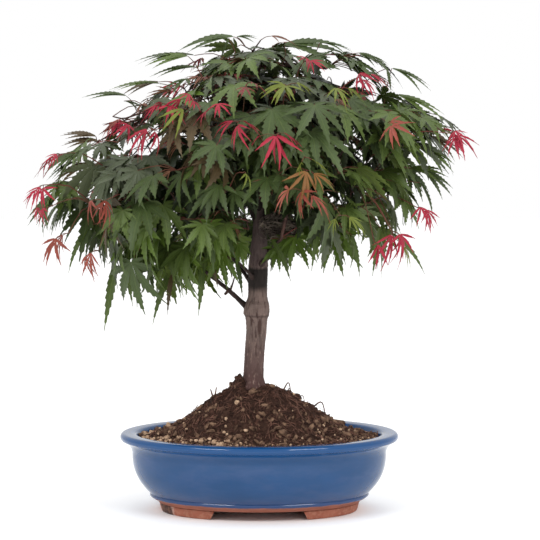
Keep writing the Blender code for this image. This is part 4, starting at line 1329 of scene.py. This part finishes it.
def blade_places(base, pose, length):
    """The base of a blade and places along its five longest lobes, as an array."""
    turns = np.radians(LOBE_ANGLES[1:-1])[:, None]
    along = np.array([0.25, 0.45, 0.72, 1]) * length
    flat = np.stack([np.cos(turns) * along, np.sin(turns) * along], axis=-1).reshape(-1, 2)
    flat *= np.repeat(LOBE_LENGTHS[1:-1], len(along))[:, None]
    axes = np.array(pose)
    return np.vstack([np.array(base), np.array(base) + flat @ axes[:, :2].T])


def in_pocket(place):
    """Whether the place is in one of the pockets that noise leaves open in the crown."""
    return lattice_noise(np.array(place), POCKET_CELL, POCKET_SEED) > POCKET_LEVEL


def droop(height):
    """How far leaves hang below level at that height, in radians: flat on top, steep low down."""
    share = min(max((height - DROOP_FOOT) / DROOP_SPAN, 0), 1)
    return math.radians(DROOP_LEAST + DROOP_RANGE * (1 - share) ** DROOP_POWER)


def random_site(rng, leaf_length):
    """A place for a spray, and the leaf tip inside the crown's outline that is outwards from it."""
    turn = rng.uniform(-math.pi, math.pi)
    height = rng.uniform(CROWN_REACH_MM[0][0], CROWN_REACH_MM[-1][0]) * MM
    down, run = droop(height), LEAF_STALK + leaf_length
    away = Vector((math.cos(turn), math.sin(turn), 0))
    inwards = (1 - CROWN_HOLLOW) * rng.random() ** OUTER_POWER
    reach = float(crown_reach(turn, height)) * (1 - inwards)
    tip = CROWN_AXIS + away * reach + Vector((0, 0, height))
    rise = min(run * math.sin(down), CROWN_REACH_MM[-1][0] * MM - 3 * MM - height)
    return tip - away * min(run * math.cos(down), reach) + Vector((0, 0, rise)), tip


def spray_sites(mass, leaf_length):
    """Evenly spread places in the mass's space: each is the furthest off of some random ones."""
    rng, sites = random.Random(mass.seed), []
    while len(sites) < mass.sprays:
        best, best_apart, tried = None, -1, 0
        while tried < CANDIDATES:
            place, tip = random_site(rng, leaf_length)
            if owner(place) != mass.name or owner(place.lerp(tip, 0.6)) != mass.name:
                continue
            tried += 1
            apart = min([(place - site).length for site in sites], default=1)
            if apart > best_apart:
                best, best_apart = place, apart
        sites.append(best)
    return sites


def split(sites, start):
    """Two groups of sites, parted across the direction in which they spread most from the fork."""
    middle = sum(sites, Vector()) / len(sites)
    along = (middle - start).normalized()
    widest = max((site - middle for site in sites), key=lambda v: (v - along * v.dot(along)).length)
    axis = (widest - along * widest.dot(along)).normalized()
    ordered = sorted(sites, key=lambda site: (site - middle).dot(axis))
    half = len(ordered) // 2
    return ordered[:half], ordered[half:]


def carry_on(path, radii, place, radius, twigs):
    """The twig with one more place, or a new one from its end where the turn would be too sharp."""
    if len(path) > 1:
        along = (path[-1] - path[-2]).normalized()
        if along.dot((place - path[-1]).normalized()) < SHARPEST_TURN:
            twigs.append((path, radii, False))
            return [path[-1], place], [TWIG_TIP_RADIUS, radius]
    return [*path, place], [*radii, radius]


def grow_twigs(path, radii, sites, total, twigs):
    """Carries the twig on to one of its sites, and grows a side twig at each fork on the way.

    Each twig is listed as its path, its radii, and whether its end has leaves.
    """
    while len(sites) > 1:
        near, far = sorted(split(sites, path[-1]), key=len)
        fork = path[-1].lerp(sum(sites, Vector()) / len(sites), FORK_SHARE)
        thicker = (BOUGH_TIP_RADIUS - TWIG_TIP_RADIUS) * math.sqrt(len(sites) / total)
        carried = TWIG_TIP_RADIUS + thicker
        path, radii = carry_on(path, radii, fork, carried, twigs)
        grow_twigs([fork], [SIDE_TWIG_SLIMMER * carried], near, total, twigs)
        sites = far
    path, radii = carry_on(path, radii, sites[0], TWIG_TIP_RADIUS, twigs)
    twigs.append((path, radii, True))


def stem_of(mass):
    """The two ends of the mass's stem, which grows on from its bough's or the trunk's tip."""
    if mass.ring == "top":
        start = Vector(TRUNK_STATIONS_MM[-1][:3]) * MM
        return [start - Vector((0, 0, STEM_SUNK)), start + Vector((0, 0, STEM_LENGTH))]
    path = bough_path(mass)
    ahead = (path[-1] - path[-2]).normalized()
    return [path[-1] - ahead * STEM_SUNK, path[-1] + ahead * STEM_LENGTH]


def ahead_of(turn, down):
    """The direction at that turn, and that far below level."""
    level = math.cos(down)
    return Vector((math.cos(turn) * level, math.sin(turn) * level, -math.sin(down)))


def leaf_pose(turn, down, roll):
    """The blade's axes as a matrix: it points outwards at that turn and hangs by that much."""
    ahead = ahead_of(turn, down)
    across = Matrix.Rotation(roll, 3, ahead) @ Vector((-math.sin(turn), math.cos(turn), 0))
    return Matrix((ahead, across, ahead.cross(across))).transposed()


def blade_mesh(seed, lobes, width, notch, gather, tooth, steps, sag, fold):
    """One palmate blade of unit length, with its stalk's end at the origin and its top side up.

    Each lobe is a strip along its own rib. Its half width is the notch's, fading out, plus a sine
    bulge that peaks before the middle, stepped in and out into teeth. The edges stand above the
    rib in proportion to the half width, each rib sinks by a power of the distance along it, and
    everything sinks by the square of its distance from the stalk.
    """
    rng = np.random.default_rng(seed)
    middle = len(LOBE_ANGLES) // 2
    keep = slice(middle - lobes // 2, middle + lobes // 2 + 1)
    angles = np.radians(np.array(LOBE_ANGLES[keep]) * gather + rng.normal(0, 4, lobes))
    lengths = np.array(LOBE_LENGTHS[keep]) * rng.uniform(0.88, 1.08, lobes)
    sag = sag * rng.uniform(0.1, 1, lobes)
    notch_angles = [angles[0] - 0.75, *((angles[1:] + angles[:-1]) / 2), angles[-1] + 0.75]
    notch_reach = [0.05, *(notch * (lengths[1:] + lengths[:-1]) / 2), 0.05]
    share = np.linspace(0, 1, steps + 1)[:-1]
    teeth = np.where(np.arange(steps) % 2, 1 + tooth, 1 - tooth)
    forward = np.where(np.arange(steps) % 2, 0.6 / steps, 0)
    bulge = np.sin(np.pi * share**0.76) ** 1.3 * teeth
    points, uv, faces = [np.zeros((1, 3))], [np.array([[0.0, 0.0]])], []
    count = 1
    for lobe in range(lobes):
        length, rib = lengths[lobe], np.array([np.cos(angles[lobe]), np.sin(angles[lobe]), 0])
        side = np.array([-rib[1], rib[0], 0])
        rows, starts = [], []
        for corner, way in ((lobe, -1), (lobe + 1, 1)):
            gap = abs(notch_angles[corner] - angles[lobe])
            starts.append(notch_reach[corner] * math.cos(gap))
            half = notch_reach[corner] * math.sin(gap) * (1 - share) ** 1.6
            half = half + width * length * bulge
            along = starts[-1] + (length - starts[-1]) * (share + forward)
            row = along[:, None] * rib + (way * half)[:, None] * side
            row[:, 2] = fold * half - sag[lobe] * along**2.4
            rows.append((row, np.stack([along, np.full(steps, float(way))], axis=-1)))
        along = np.mean(starts) + (length - np.mean(starts)) * share
        rib_row = along[:, None] * rib
        rib_row[:, 2] = -sag[lobe] * along**2.4
        tip = (length * rib + np.array([0, 0, -sag[lobe] * length**2.4]))[None]
        points += [rows[0][0], rib_row, rows[1][0], tip]
        rib_uv = np.stack([along, 0 * along], axis=-1)
        uv += [rows[0][1], rib_uv, rows[1][1], np.array([[length, 0.0]])]
        right, rib_at, left = count, count + steps, count + 2 * steps
        end = count + 3 * steps
        near = np.arange(steps - 1)
        for low, high in ((right, rib_at), (rib_at, left)):
            faces.append(np.stack([low + near, low + near + 1, high + near + 1], axis=-1))
            faces.append(np.stack([low + near, high + near + 1, high + near], axis=-1))
        last = steps - 1
        foot = [[0, right, rib_at], [0, rib_at, left]]
        point = [[right + last, end, rib_at + last], [rib_at + last, end, left + last]]
        faces.append(np.array(foot + point))
        count = end + 1
    points = np.concatenate(points)
    points[:, 2] -= 0.1 * (points[:, 0] ** 2 + points[:, 1] ** 2)
    return points, np.concatenate(faces), np.concatenate(uv)


class Crown:
    """The leaves, stalks and twigs that have grown, as lists of poses and paths."""

    def __init__(self):
        self.blades = {}
        self.stalks = []
        self.twigs = []
        self.nodes = []
        self.middles = np.zeros((0, 3))

    def add_leaf(self, tint, base, pose, length, kind):
        """Notes one blade: the tint's list gets its place, its axes times its length, its kind."""
        row = (np.array(base), np.array(pose) * length, kind)
        self.blades.setdefault(tint, []).append(row)
        middle = np.array(base) + np.array(pose)[:, 0] * length * 0.5
        self.middles = np.vstack([self.middles, middle])

    def is_free(self, base, pose, length, space):
        """Whether no other blade's middle is within that share of the length."""
        middle = np.array(base) + np.array(pose)[:, 0] * length * 0.5
        apart = np.linalg.norm(self.middles - middle, axis=1)
        return not len(apart) or apart.min() > space * length

    def add_stalk(self, start, end, radius=0.5 * MM):
        """Notes a leaf's stalk: it leaves the twig level and sags to the blade."""
        bend = (start + end) / 2 + Vector((0, 0, 0.12 * (end - start).length))
        self.stalks.append(([tuple(start), tuple(bend), tuple(end)], radius))

    def nearest(self, place, edge=math.inf):
        """The nearest place on a twig. One that is higher, or past the edge, counts as further."""
        wrong = [DETOUR * (end.z > place.z) + DETOUR * (abs(end.x) > edge) for end in self.nodes]
        apart = [(end - place).length + more for end, more in zip(self.nodes, wrong)]
        return self.nodes[apart.index(min(apart))]


def massed_tint(place):
    """The tint that the photograph shows massed there, if any."""
    for across, height, reach, tint in TINT_PATCHES:
        if place.y < 0 and math.hypot(place.x / MM - across, place.z / MM - height) < reach:
            return tint
    return None


def in_painted_shade(place):
    """Whether the place is well inside the crown, where leaves take the darkest tint as painted
    shade.
    """
    out = place - CROWN_AXIS
    reach = float(crown_reach(math.atan2(out.y, out.x), place.z))
    low, high = SHADE_HEIGHTS
    return out.to_2d().length < SHADE_SHARE * reach and low < place.z < high


def spray_leaves(mass, path, rng, crown, settings):
    """The leaves at a twig's end: a fan of them round it, clear of those that are there."""
    site = path[-1]
    along = (path[-1] - path[-2]).normalized()
    out = (site - CROWN_AXIS).to_2d()
    level = along.to_2d() + OUTWARD_PULL * out / max(out.length, MM)
    heading, outward = math.atan2(level.y, level.x), math.atan2(out.y, out.x)
    fans = []
    tint = rng.choices(list(LEAF_TINTS), [share for _, share, _ in LEAF_TINTS.values()])[0]
    if site.z < DARK_SPRAYS_FOOT and tint == "dark":
        tint = ("green", "fresh")[len(crown.stalks) % 2]
    for _ in range(LEAF_TRIES):
        fan = math.radians(rng.uniform(-FAN_REACH, FAN_REACH))
        if any(abs(fan - other) < math.radians(FAN_APART) for other in fans):
            continue
        length = settings.leaf_length * rng.uniform(*LEAF_SIZES)
        stalk = LEAF_STALK * rng.uniform(*STALK_SIZES)
        down = droop(site.z - 0.5 * (length + stalk)) * rng.uniform(*HANG_SHARES)
        reach = ahead_of(heading + fan, 0.4 * down - rng.uniform(0, 0.5))
        base = site + reach * stalk
        bend = (outward - heading - fan + math.pi) % (2 * math.pi) - math.pi
        turn = heading + fan + min(max(bend, -MOST_BEND), MOST_BEND) * rng.random()
        pose = leaf_pose(turn, down, rng.choice((0.5, 0.5, 0.5, 1.1)) * rng.uniform(-1, 1))
        middle = base + pose.col[0] * 0.5 * length
        if in_pocket(middle):
            continue
        if reach.dot(pose.col[0]) < SHARPEST_BLADE_TURN:
            continue
        if not crown.is_free(base, pose, length, LEAF_SPACE):
            continue
        lobes = [Vector((math.cos(lobe), math.sin(lobe), -0.16)) for lobe in (-0.7, 0, 0.7)]
        tips = [tuple(base + pose @ lobe * length) for lobe in lobes]
        if not in_crown(np.array(tips)) or base.z > CROWN_TOP:
            continue
        if in_window(blade_places(base, pose, length)):
            continue
        if owner(base) != mass.name or owner(middle) != mass.name:
            continue
        fans.append(fan)
        # Leaves well inside the crown take the darkest tint: painted shade
        own = "deep" if in_painted_shade(middle) else massed_tint(middle) or tint
        crown.add_leaf(own, base, pose, length, rng.randrange(GROWN_KINDS))
        crown.add_stalk(site, base)
        if len(fans) == settings.leaves_per_spray:
            break
    add_small_leaves(site, outward, rng, crown)


def add_small_leaves(site, outward, rng, crown):
    """None to three small brownish leaves at a twig's end: more of them high in the crown."""
    low = site.z < SMALL_LEAVES_FOOT
    for _ in range(rng.choice((0, 0, 0, 1, 2) if low else (0, 1, 1, 2, 3))):
        turn, down = outward + rng.uniform(-1.3, 1.3), droop(site.z) * rng.uniform(0.3, 1.3)
        base = site + ahead_of(turn, down - 0.4) * rng.uniform(6, 16) * MM
        pose = leaf_pose(turn, down, rng.uniform(-0.9, 0.9))
        length = rng.uniform(*SMALL_LEAF_LENGTHS) * MM
        if in_window(blade_places(base, pose, length)):
            continue
        if in_crown(np.array([tuple(base + pose.col[0] * length)])):
            tint = rng.choice(("maroon", "russet", "russet"))
            crown.add_leaf(tint, base, pose, length, rng.randrange(YOUNG_KINDS))
            crown.add_stalk(site, base, 0.4 * MM)


def grow_crown(settings):
    """Grows every mass: its twigs first, then leaves at the end of each."""
    crown = Crown()
    for *places, radii in SPURS:
        spur = [Vector(place) * MM for place in places]
        crown.twigs.append((spur, [radius * MM for radius in radii]))
    for name in MASSES:
        mass = Mass(name, settings.fullness)
        sites, twigs = spray_sites(mass, settings.leaf_length), []
        grow_twigs(stem_of(mass), [BOUGH_TIP_RADIUS] * 2, sites, len(sites), twigs)
        rng = random.Random(LEAF_SEED + mass.seed)
        for path, radii, leafy in reversed(twigs):
            before = len(crown.stalks)
            if leafy:
                spray_leaves(mass, path, rng, crown, settings)
            if leafy and len(crown.stalks) == before:
                path, radii = path[:-1], radii[:-1]
            if len(path) > 1:
                crown.twigs.append((path, radii))
                crown.nodes += path[1:]
                crown.nodes += [low.lerp(high, 0.5) for low, high in zip(path, path[1:])]
    return crown


def front_of_crown(across, height):
    """The depth of the crown's front there: its outline's half ellipse, a little inside."""
    out = across - CROWN_AXIS.x
    heights, left, right, depths = CROWN_ROWS.T
    side = np.interp(height, heights, right if out > 0 else left)
    depth = np.interp(height, heights, depths)
    return -depth * FRONT_SHARE * math.sqrt(max(1 - (out / side) ** 2, 0))


def grow_shoot(crown, node, tint, leaves, length, rng):
    """A young shoot: a fine twig from the nearest one, and narrow leaves that fan from its end."""
    nearest = crown.nearest(node)
    bend = nearest.lerp(node, 0.5) + Vector((0, 0, 0.15 * (node - nearest).length))
    crown.stalks.append(([tuple(nearest), tuple(bend), tuple(node)], 0.6 * MM))
    out = (node - CROWN_AXIS).to_2d()
    outward, down = math.atan2(out.y, out.x), droop(node.z - 20 * MM)
    for number in range(leaves):
        fan = (number - (leaves - 1) / 2) * 0.9 + rng.uniform(-0.5, 0.5)
        reach = ahead_of(outward + fan, 0.5 * down - rng.uniform(-0.2, 0.6))
        base = node + reach * rng.uniform(4, 15) * MM
        hang = down * rng.uniform(0.5, 1.3) + 0.15
        pose = leaf_pose(outward + fan * 1.1, hang, rng.uniform(-0.9, 0.9))
        size = length * MM * rng.uniform(0.55, 0.98)
        crown.add_leaf(tint, base, pose, size, rng.randrange(YOUNG_KINDS))
        crown.add_stalk(node, base, 0.45 * MM)


def grow_edge_leaves(crown):
    """The leaves that stand out of the outline, each on a stalk from the nearest twig."""
    rng = random.Random(EDGE_SEED)
    for across, height, tip_across, tip_height, tint in EDGE_LEAVES:
        base = Vector((across * MM, rng.uniform(-30, 0) * MM, height * MM))
        if abs(across * MM) < EDGE_MIDDLE and height * MM < EDGE_MIDDLE_TOP:
            base.y -= EDGE_MIDDLE_FORWARD
        tip = Vector((tip_across * MM, base.y, tip_height * MM))
        tip.y -= EDGE_LEAN * (tip - base).length
        ahead = (tip - base).normalized()
        roll = rng.uniform(0.1, 0.6) * (1 if ahead.x > 0 else -1)
        pose = leaf_pose(math.atan2(ahead.y, ahead.x), math.asin(-ahead.z) - EDGE_ARCH, roll)
        kind = GROWN_KINDS + (ahead.z > -0.7)
        if tint in SHOOT_TINTS or tint in ("fresh", "grey"):
            kind = rng.randrange(3)
        crown.add_leaf(tint, base, pose, (tip - base).length, kind)
        crown.add_stalk(crown.nearest(base, max(abs(base.x), EDGE_MIDDLE)), base)


def grow_shoots(crown):
    """The young shoots: those that the photograph shows, and as many kinds over the rest."""
    rng = random.Random(SHOOT_SEED)
    for across, height, tint, leaves, length in SHOOTS:
        x, z = across * MM, height * MM
        x *= 1 - 0.05 * abs(x) / (220 * MM)
        z += 0.4 * length * MM * math.sin(droop(z))
        grow_shoot(crown, Vector((x, front_of_crown(x, z), z)), tint, leaves, length, rng)
    for _ in range(BACK_SHOOTS):
        turn = math.radians(rng.uniform(*BACK_TURNS))
        height = rng.uniform(*BACK_HEIGHTS) * MM
        reach = float(crown_reach(turn, height)) * rng.uniform(*BACK_SHARES)
        node = CROWN_AXIS + Vector((math.cos(turn) * reach, math.sin(turn) * reach, height))
        if in_window(np.array(node) + np.array([[0, 0, 0], [0, 0, 12], [0, 0, -20]]) * MM):
            continue
        tint = rng.choice(("crimson", "crimson", "crimson", "salmon", "salmon", "maroon", "amber"))
        grow_shoot(crown, node, tint, rng.randint(2, 4), rng.uniform(26, 38), rng)


class BONSAI_OT_foliage(bpy.types.Operator):
    """Grows the twigs, leaves and young shoots on from the boughs"""

    bl_idname = "bonsai.foliage"
    bl_label = "Foliage"

    def execute(self, context):
        settings = context.scene.bonsai_tree
        crown = grow_crown(settings)
        grow_edge_leaves(crown)
        grow_shoots(crown)
        self.limbs(crown)
        self.tangle()
        grown = [
            blade_mesh(
                seed=40 + kind,
                lobes=7,
                width=0.066 + 0.006 * kind,
                notch=0.2,
                gather=0.94 - 0.04 * (kind % 5),
                tooth=0.24,
                steps=14,
                sag=0.3,
                fold=0.36,
            )
            for kind in range(GROWN_KINDS)
        ]
        grown += [
            blade_mesh(
                seed=80 + lobes,
                lobes=lobes,
                width=width,
                notch=0.13,
                gather=0.34,
                tooth=0.2,
                steps=18,
                sag=0.3,
                fold=0.4,
            )
            for lobes, width in ((1, 0.048), (3, 0.064))
        ]
        young = [
            blade_mesh(
                seed=60 + kind,
                lobes=3 if kind == 2 else 5,
                width=0.036 + 0.006 * kind,
                notch=0.12,
                gather=0.56 + 0.1 * kind,
                tooth=0.1,
                steps=8,
                sag=0.42,
                fold=0.6,
            )
            for kind in range(YOUNG_KINDS)
        ]
        for tint, (colour, _, back) in LEAF_TINTS.items():
            finish = leaf_finish(f"{tint} leaf", colour, back)
            self.leaves(f"leaves_{tint}", crown.blades[tint], grown, finish)
        for tint, (colour, back) in SHOOT_TINTS.items():
            finish = leaf_finish(f"{tint} young leaf", colour, back, 0.5)
            self.leaves(f"young_leaves_{tint}", crown.blades[tint], young, finish)
        return {"FINISHED"}

    def tangle(self):
        """The tangle of dead twigs in the fork right of the trunk.

        Each path is a sum of random steps, held inside a ball whose size differs from path to path.
        """
        rng = np.random.default_rng(TANGLE_SEED)
        start = rng.normal(0, 1, (TANGLE_TWIGS, 1, 3))
        steps = rng.normal(0, 0.42, (TANGLE_TWIGS, TANGLE_STEPS, 3))
        wander = np.cumsum(steps, axis=1) + start * 0.75
        reach = rng.uniform(0.7, 1.3, (TANGLE_TWIGS, 1, 1))
        wander /= np.maximum(np.linalg.norm(wander, axis=-1, keepdims=True) / reach, 1)
        paths = np.array(TANGLE_MIDDLE) * MM + wander * np.array(TANGLE_REACH) * MM
        radii = rng.uniform(0.25, 0.7, (TANGLE_TWIGS, 1)) * MM * np.linspace(1, 0.6, TANGLE_STEPS)
        points, faces = tubes(paths, radii, FINE_SIDES)
        piece = new_piece("dead_twigs", points, faces, matt_finish("dead twigs"))
        place_piece(piece, "bark", *FOLIAGE_NODES)

    def leaves(self, name, blades, kinds, finish):
        """One tint's blades in one piece: copies of each kind of blade, joined."""
        points, faces, plans, count = [], [], [], 0
        for kind, (shape, triangles, uv) in enumerate(kinds):
            chosen = [row for row in blades if row[2] == kind]
            if not chosen:
                continue
            turns = np.array([row[1] for row in chosen])
            made, corners = copies(shape, triangles, turns, np.array([row[0] for row in chosen]))
            points.append(made)
            faces.append(corners + count)
            plans.append(np.tile(uv, (len(chosen), 1)))
            count += len(made)
        points, faces, plans = (np.concatenate(parts) for parts in (points, faces, plans))
        place_piece(new_piece(name, points, [faces], finish, plans), "foliage", *FOLIAGE_NODES)

    def limbs(self, crown):
        """The twigs in one piece and the leaf stalks in another."""
        shares = np.linspace(0, 1, TWIG_ROWS)
        paths, radii = [], []
        for path, widths in crown.twigs:
            paths.append(through([tuple(place) for place in path], TWIG_ROWS))
            radii.append(np.interp(shares, np.linspace(0, 1, len(widths)), widths))
        points, faces = tubes(paths, radii, TWIG_SIDES)
        piece = new_piece("twigs", points, faces, matt_finish("twig bark"))
        place_piece(piece, "bark", *FOLIAGE_NODES)
        paths = [through(path, STALK_ROWS) for path, _ in crown.stalks]
        radii = [np.linspace(radius, 0.7 * radius, STALK_ROWS) for _, radius in crown.stalks]
        points, faces = tubes(paths, radii, FINE_SIDES)
        piece = new_piece("leaf_stalks", points, faces, matt_finish("leaf stalk"))
        place_piece(piece, "foliage", *FOLIAGE_NODES)


def aim(thing, target):
    """Turns a camera or a light, whose view is along its -Z, towards a place."""
    thing.rotation_euler = (Vector(target) - thing.location).to_track_quat("-Z", "Y").to_euler()


class BONSAI_OT_stage(bpy.types.Operator):
    """Sets the floor, the soft lights and the camera"""

    bl_idname = "bonsai.stage"
    bl_label = "Stage"

    def execute(self, context):
        settings = context.scene.bonsai_stage
        scene = context.scene
        corners = FLOOR_HALF * np.array([[-1, -1, 0], [1, -1, 0], [1, 1, 0], [-1, 1, 0]])
        finish, tree, shader, place = new_finish("pale floor", 0.9, 0.2)
        floor = new_piece("floor", corners, [np.array([[0, 1, 2, 3]])], finish)
        shader.inputs["Base Color"].default_value = (*settings.floor, 1)
        shader.inputs["Emission Color"].default_value = (1, 1, 1, 1)
        # Painted light: the floor glows outside an oval round the pot's footprint, which leaves a
        # painted contact shadow under the pot
        across, back = GLOW_REACH
        inside = vector_math(tree, "MULTIPLY", place, (1 / across, 1 / back, 1.0))
        glow = spread(tree, vector_math(tree, "LENGTH", inside), 0.8, 1.2, 0.0, 0.12)
        tree.links.new(glow, shader.inputs["Emission Strength"])
        world = bpy.data.worlds.new("soft white room")
        world.use_nodes = True
        background = world.node_tree.nodes["Background"].inputs
        background["Color"].default_value = (1, 1, 1, 1)
        background["Strength"].default_value = 1.0
        scene.world = world
        for name, place, size, energy in (
            ("key", (-1.2, -1.5, 1.7), (1.0, 0.2), 17),
            ("fill", (1.1, -1.5, 1.5), (1.0, 0.2), 16),
            ("top", (0.0, 0.2, 2.2), (1.2, 1.2), 8),
        ):
            light = bpy.data.lights.new(name, "AREA")
            light.shape = "RECTANGLE"
            light.size, light.size_y = size
            light.energy = energy
            lamp = bpy.data.objects.new(name, light)
            lamp.location = Vector(place) + Vector(HOME)
            aim(lamp, Vector(HOME) + Vector((0, 0, 0.2)))
            scene.collection.objects.link(lamp)
        camera = bpy.data.objects.new("camera", bpy.data.cameras.new("camera"))
        camera.location = Vector(HOME) + Vector((EYE_ACROSS, -settings.distance, settings.height))
        camera.rotation_euler = (math.radians(90 - CAMERA_TILT), 0, 0)
        camera.data.lens = settings.lens
        camera.data.sensor_width = SENSOR_WIDTH
        camera.data.clip_end = 50
        scene.collection.objects.link(camera)
        scene.camera = camera
        scene.view_settings.view_transform = "Standard"
        return {"FINISHED"}


class VIEW3D_PT_bonsai(bpy.types.Panel):
    """Lists the settings and the steps"""

    bl_label = "Bonsai"
    bl_space_type = "VIEW_3D"
    bl_region_type = "UI"
    bl_category = "Bonsai"

    def draw(self, context):
        for group in ("bonsai_pot", "bonsai_soil", "bonsai_tree", "bonsai_stage"):
            settings = getattr(context.scene, group)
            for name in settings.__annotations__:
                self.layout.prop(settings, name)
        for step in STEPS:
            self.layout.operator(step.bl_idname)


STEPS = (
    BONSAI_OT_pot,
    BONSAI_OT_feet,
    BONSAI_OT_soil,
    BONSAI_OT_litter,
    BONSAI_OT_trunk,
    BONSAI_OT_boughs,
    BONSAI_OT_foliage,
    BONSAI_OT_stage,
)
GROUPS = {
    "bonsai_pot": PotSettings,
    "bonsai_soil": SoilSettings,
    "bonsai_tree": TreeSettings,
    "bonsai_stage": StageSettings,
}


def register():
    """Registers the settings, the steps and the panel."""
    for name, group in GROUPS.items():
        bpy.utils.register_class(group)
        setattr(bpy.types.Scene, name, PointerProperty(type=group))
    for made in (*STEPS, VIEW3D_PT_bonsai):
        bpy.utils.register_class(made)


def unregister():
    """Takes away all that register added."""
    for made in (VIEW3D_PT_bonsai, *reversed(STEPS)):
        bpy.utils.unregister_class(made)
    for name, group in GROUPS.items():
        delattr(bpy.types.Scene, name)
        bpy.utils.unregister_class(group)


def main():
    """Registers the add-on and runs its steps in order."""
    register()
    bpy.ops.bonsai.pot()
    bpy.ops.bonsai.feet()
    bpy.ops.bonsai.soil()
    bpy.ops.bonsai.litter()
    bpy.ops.bonsai.trunk()
    bpy.ops.bonsai.boughs()
    bpy.ops.bonsai.foliage()
    bpy.ops.bonsai.stage()


if __name__ == "__main__":
    main()
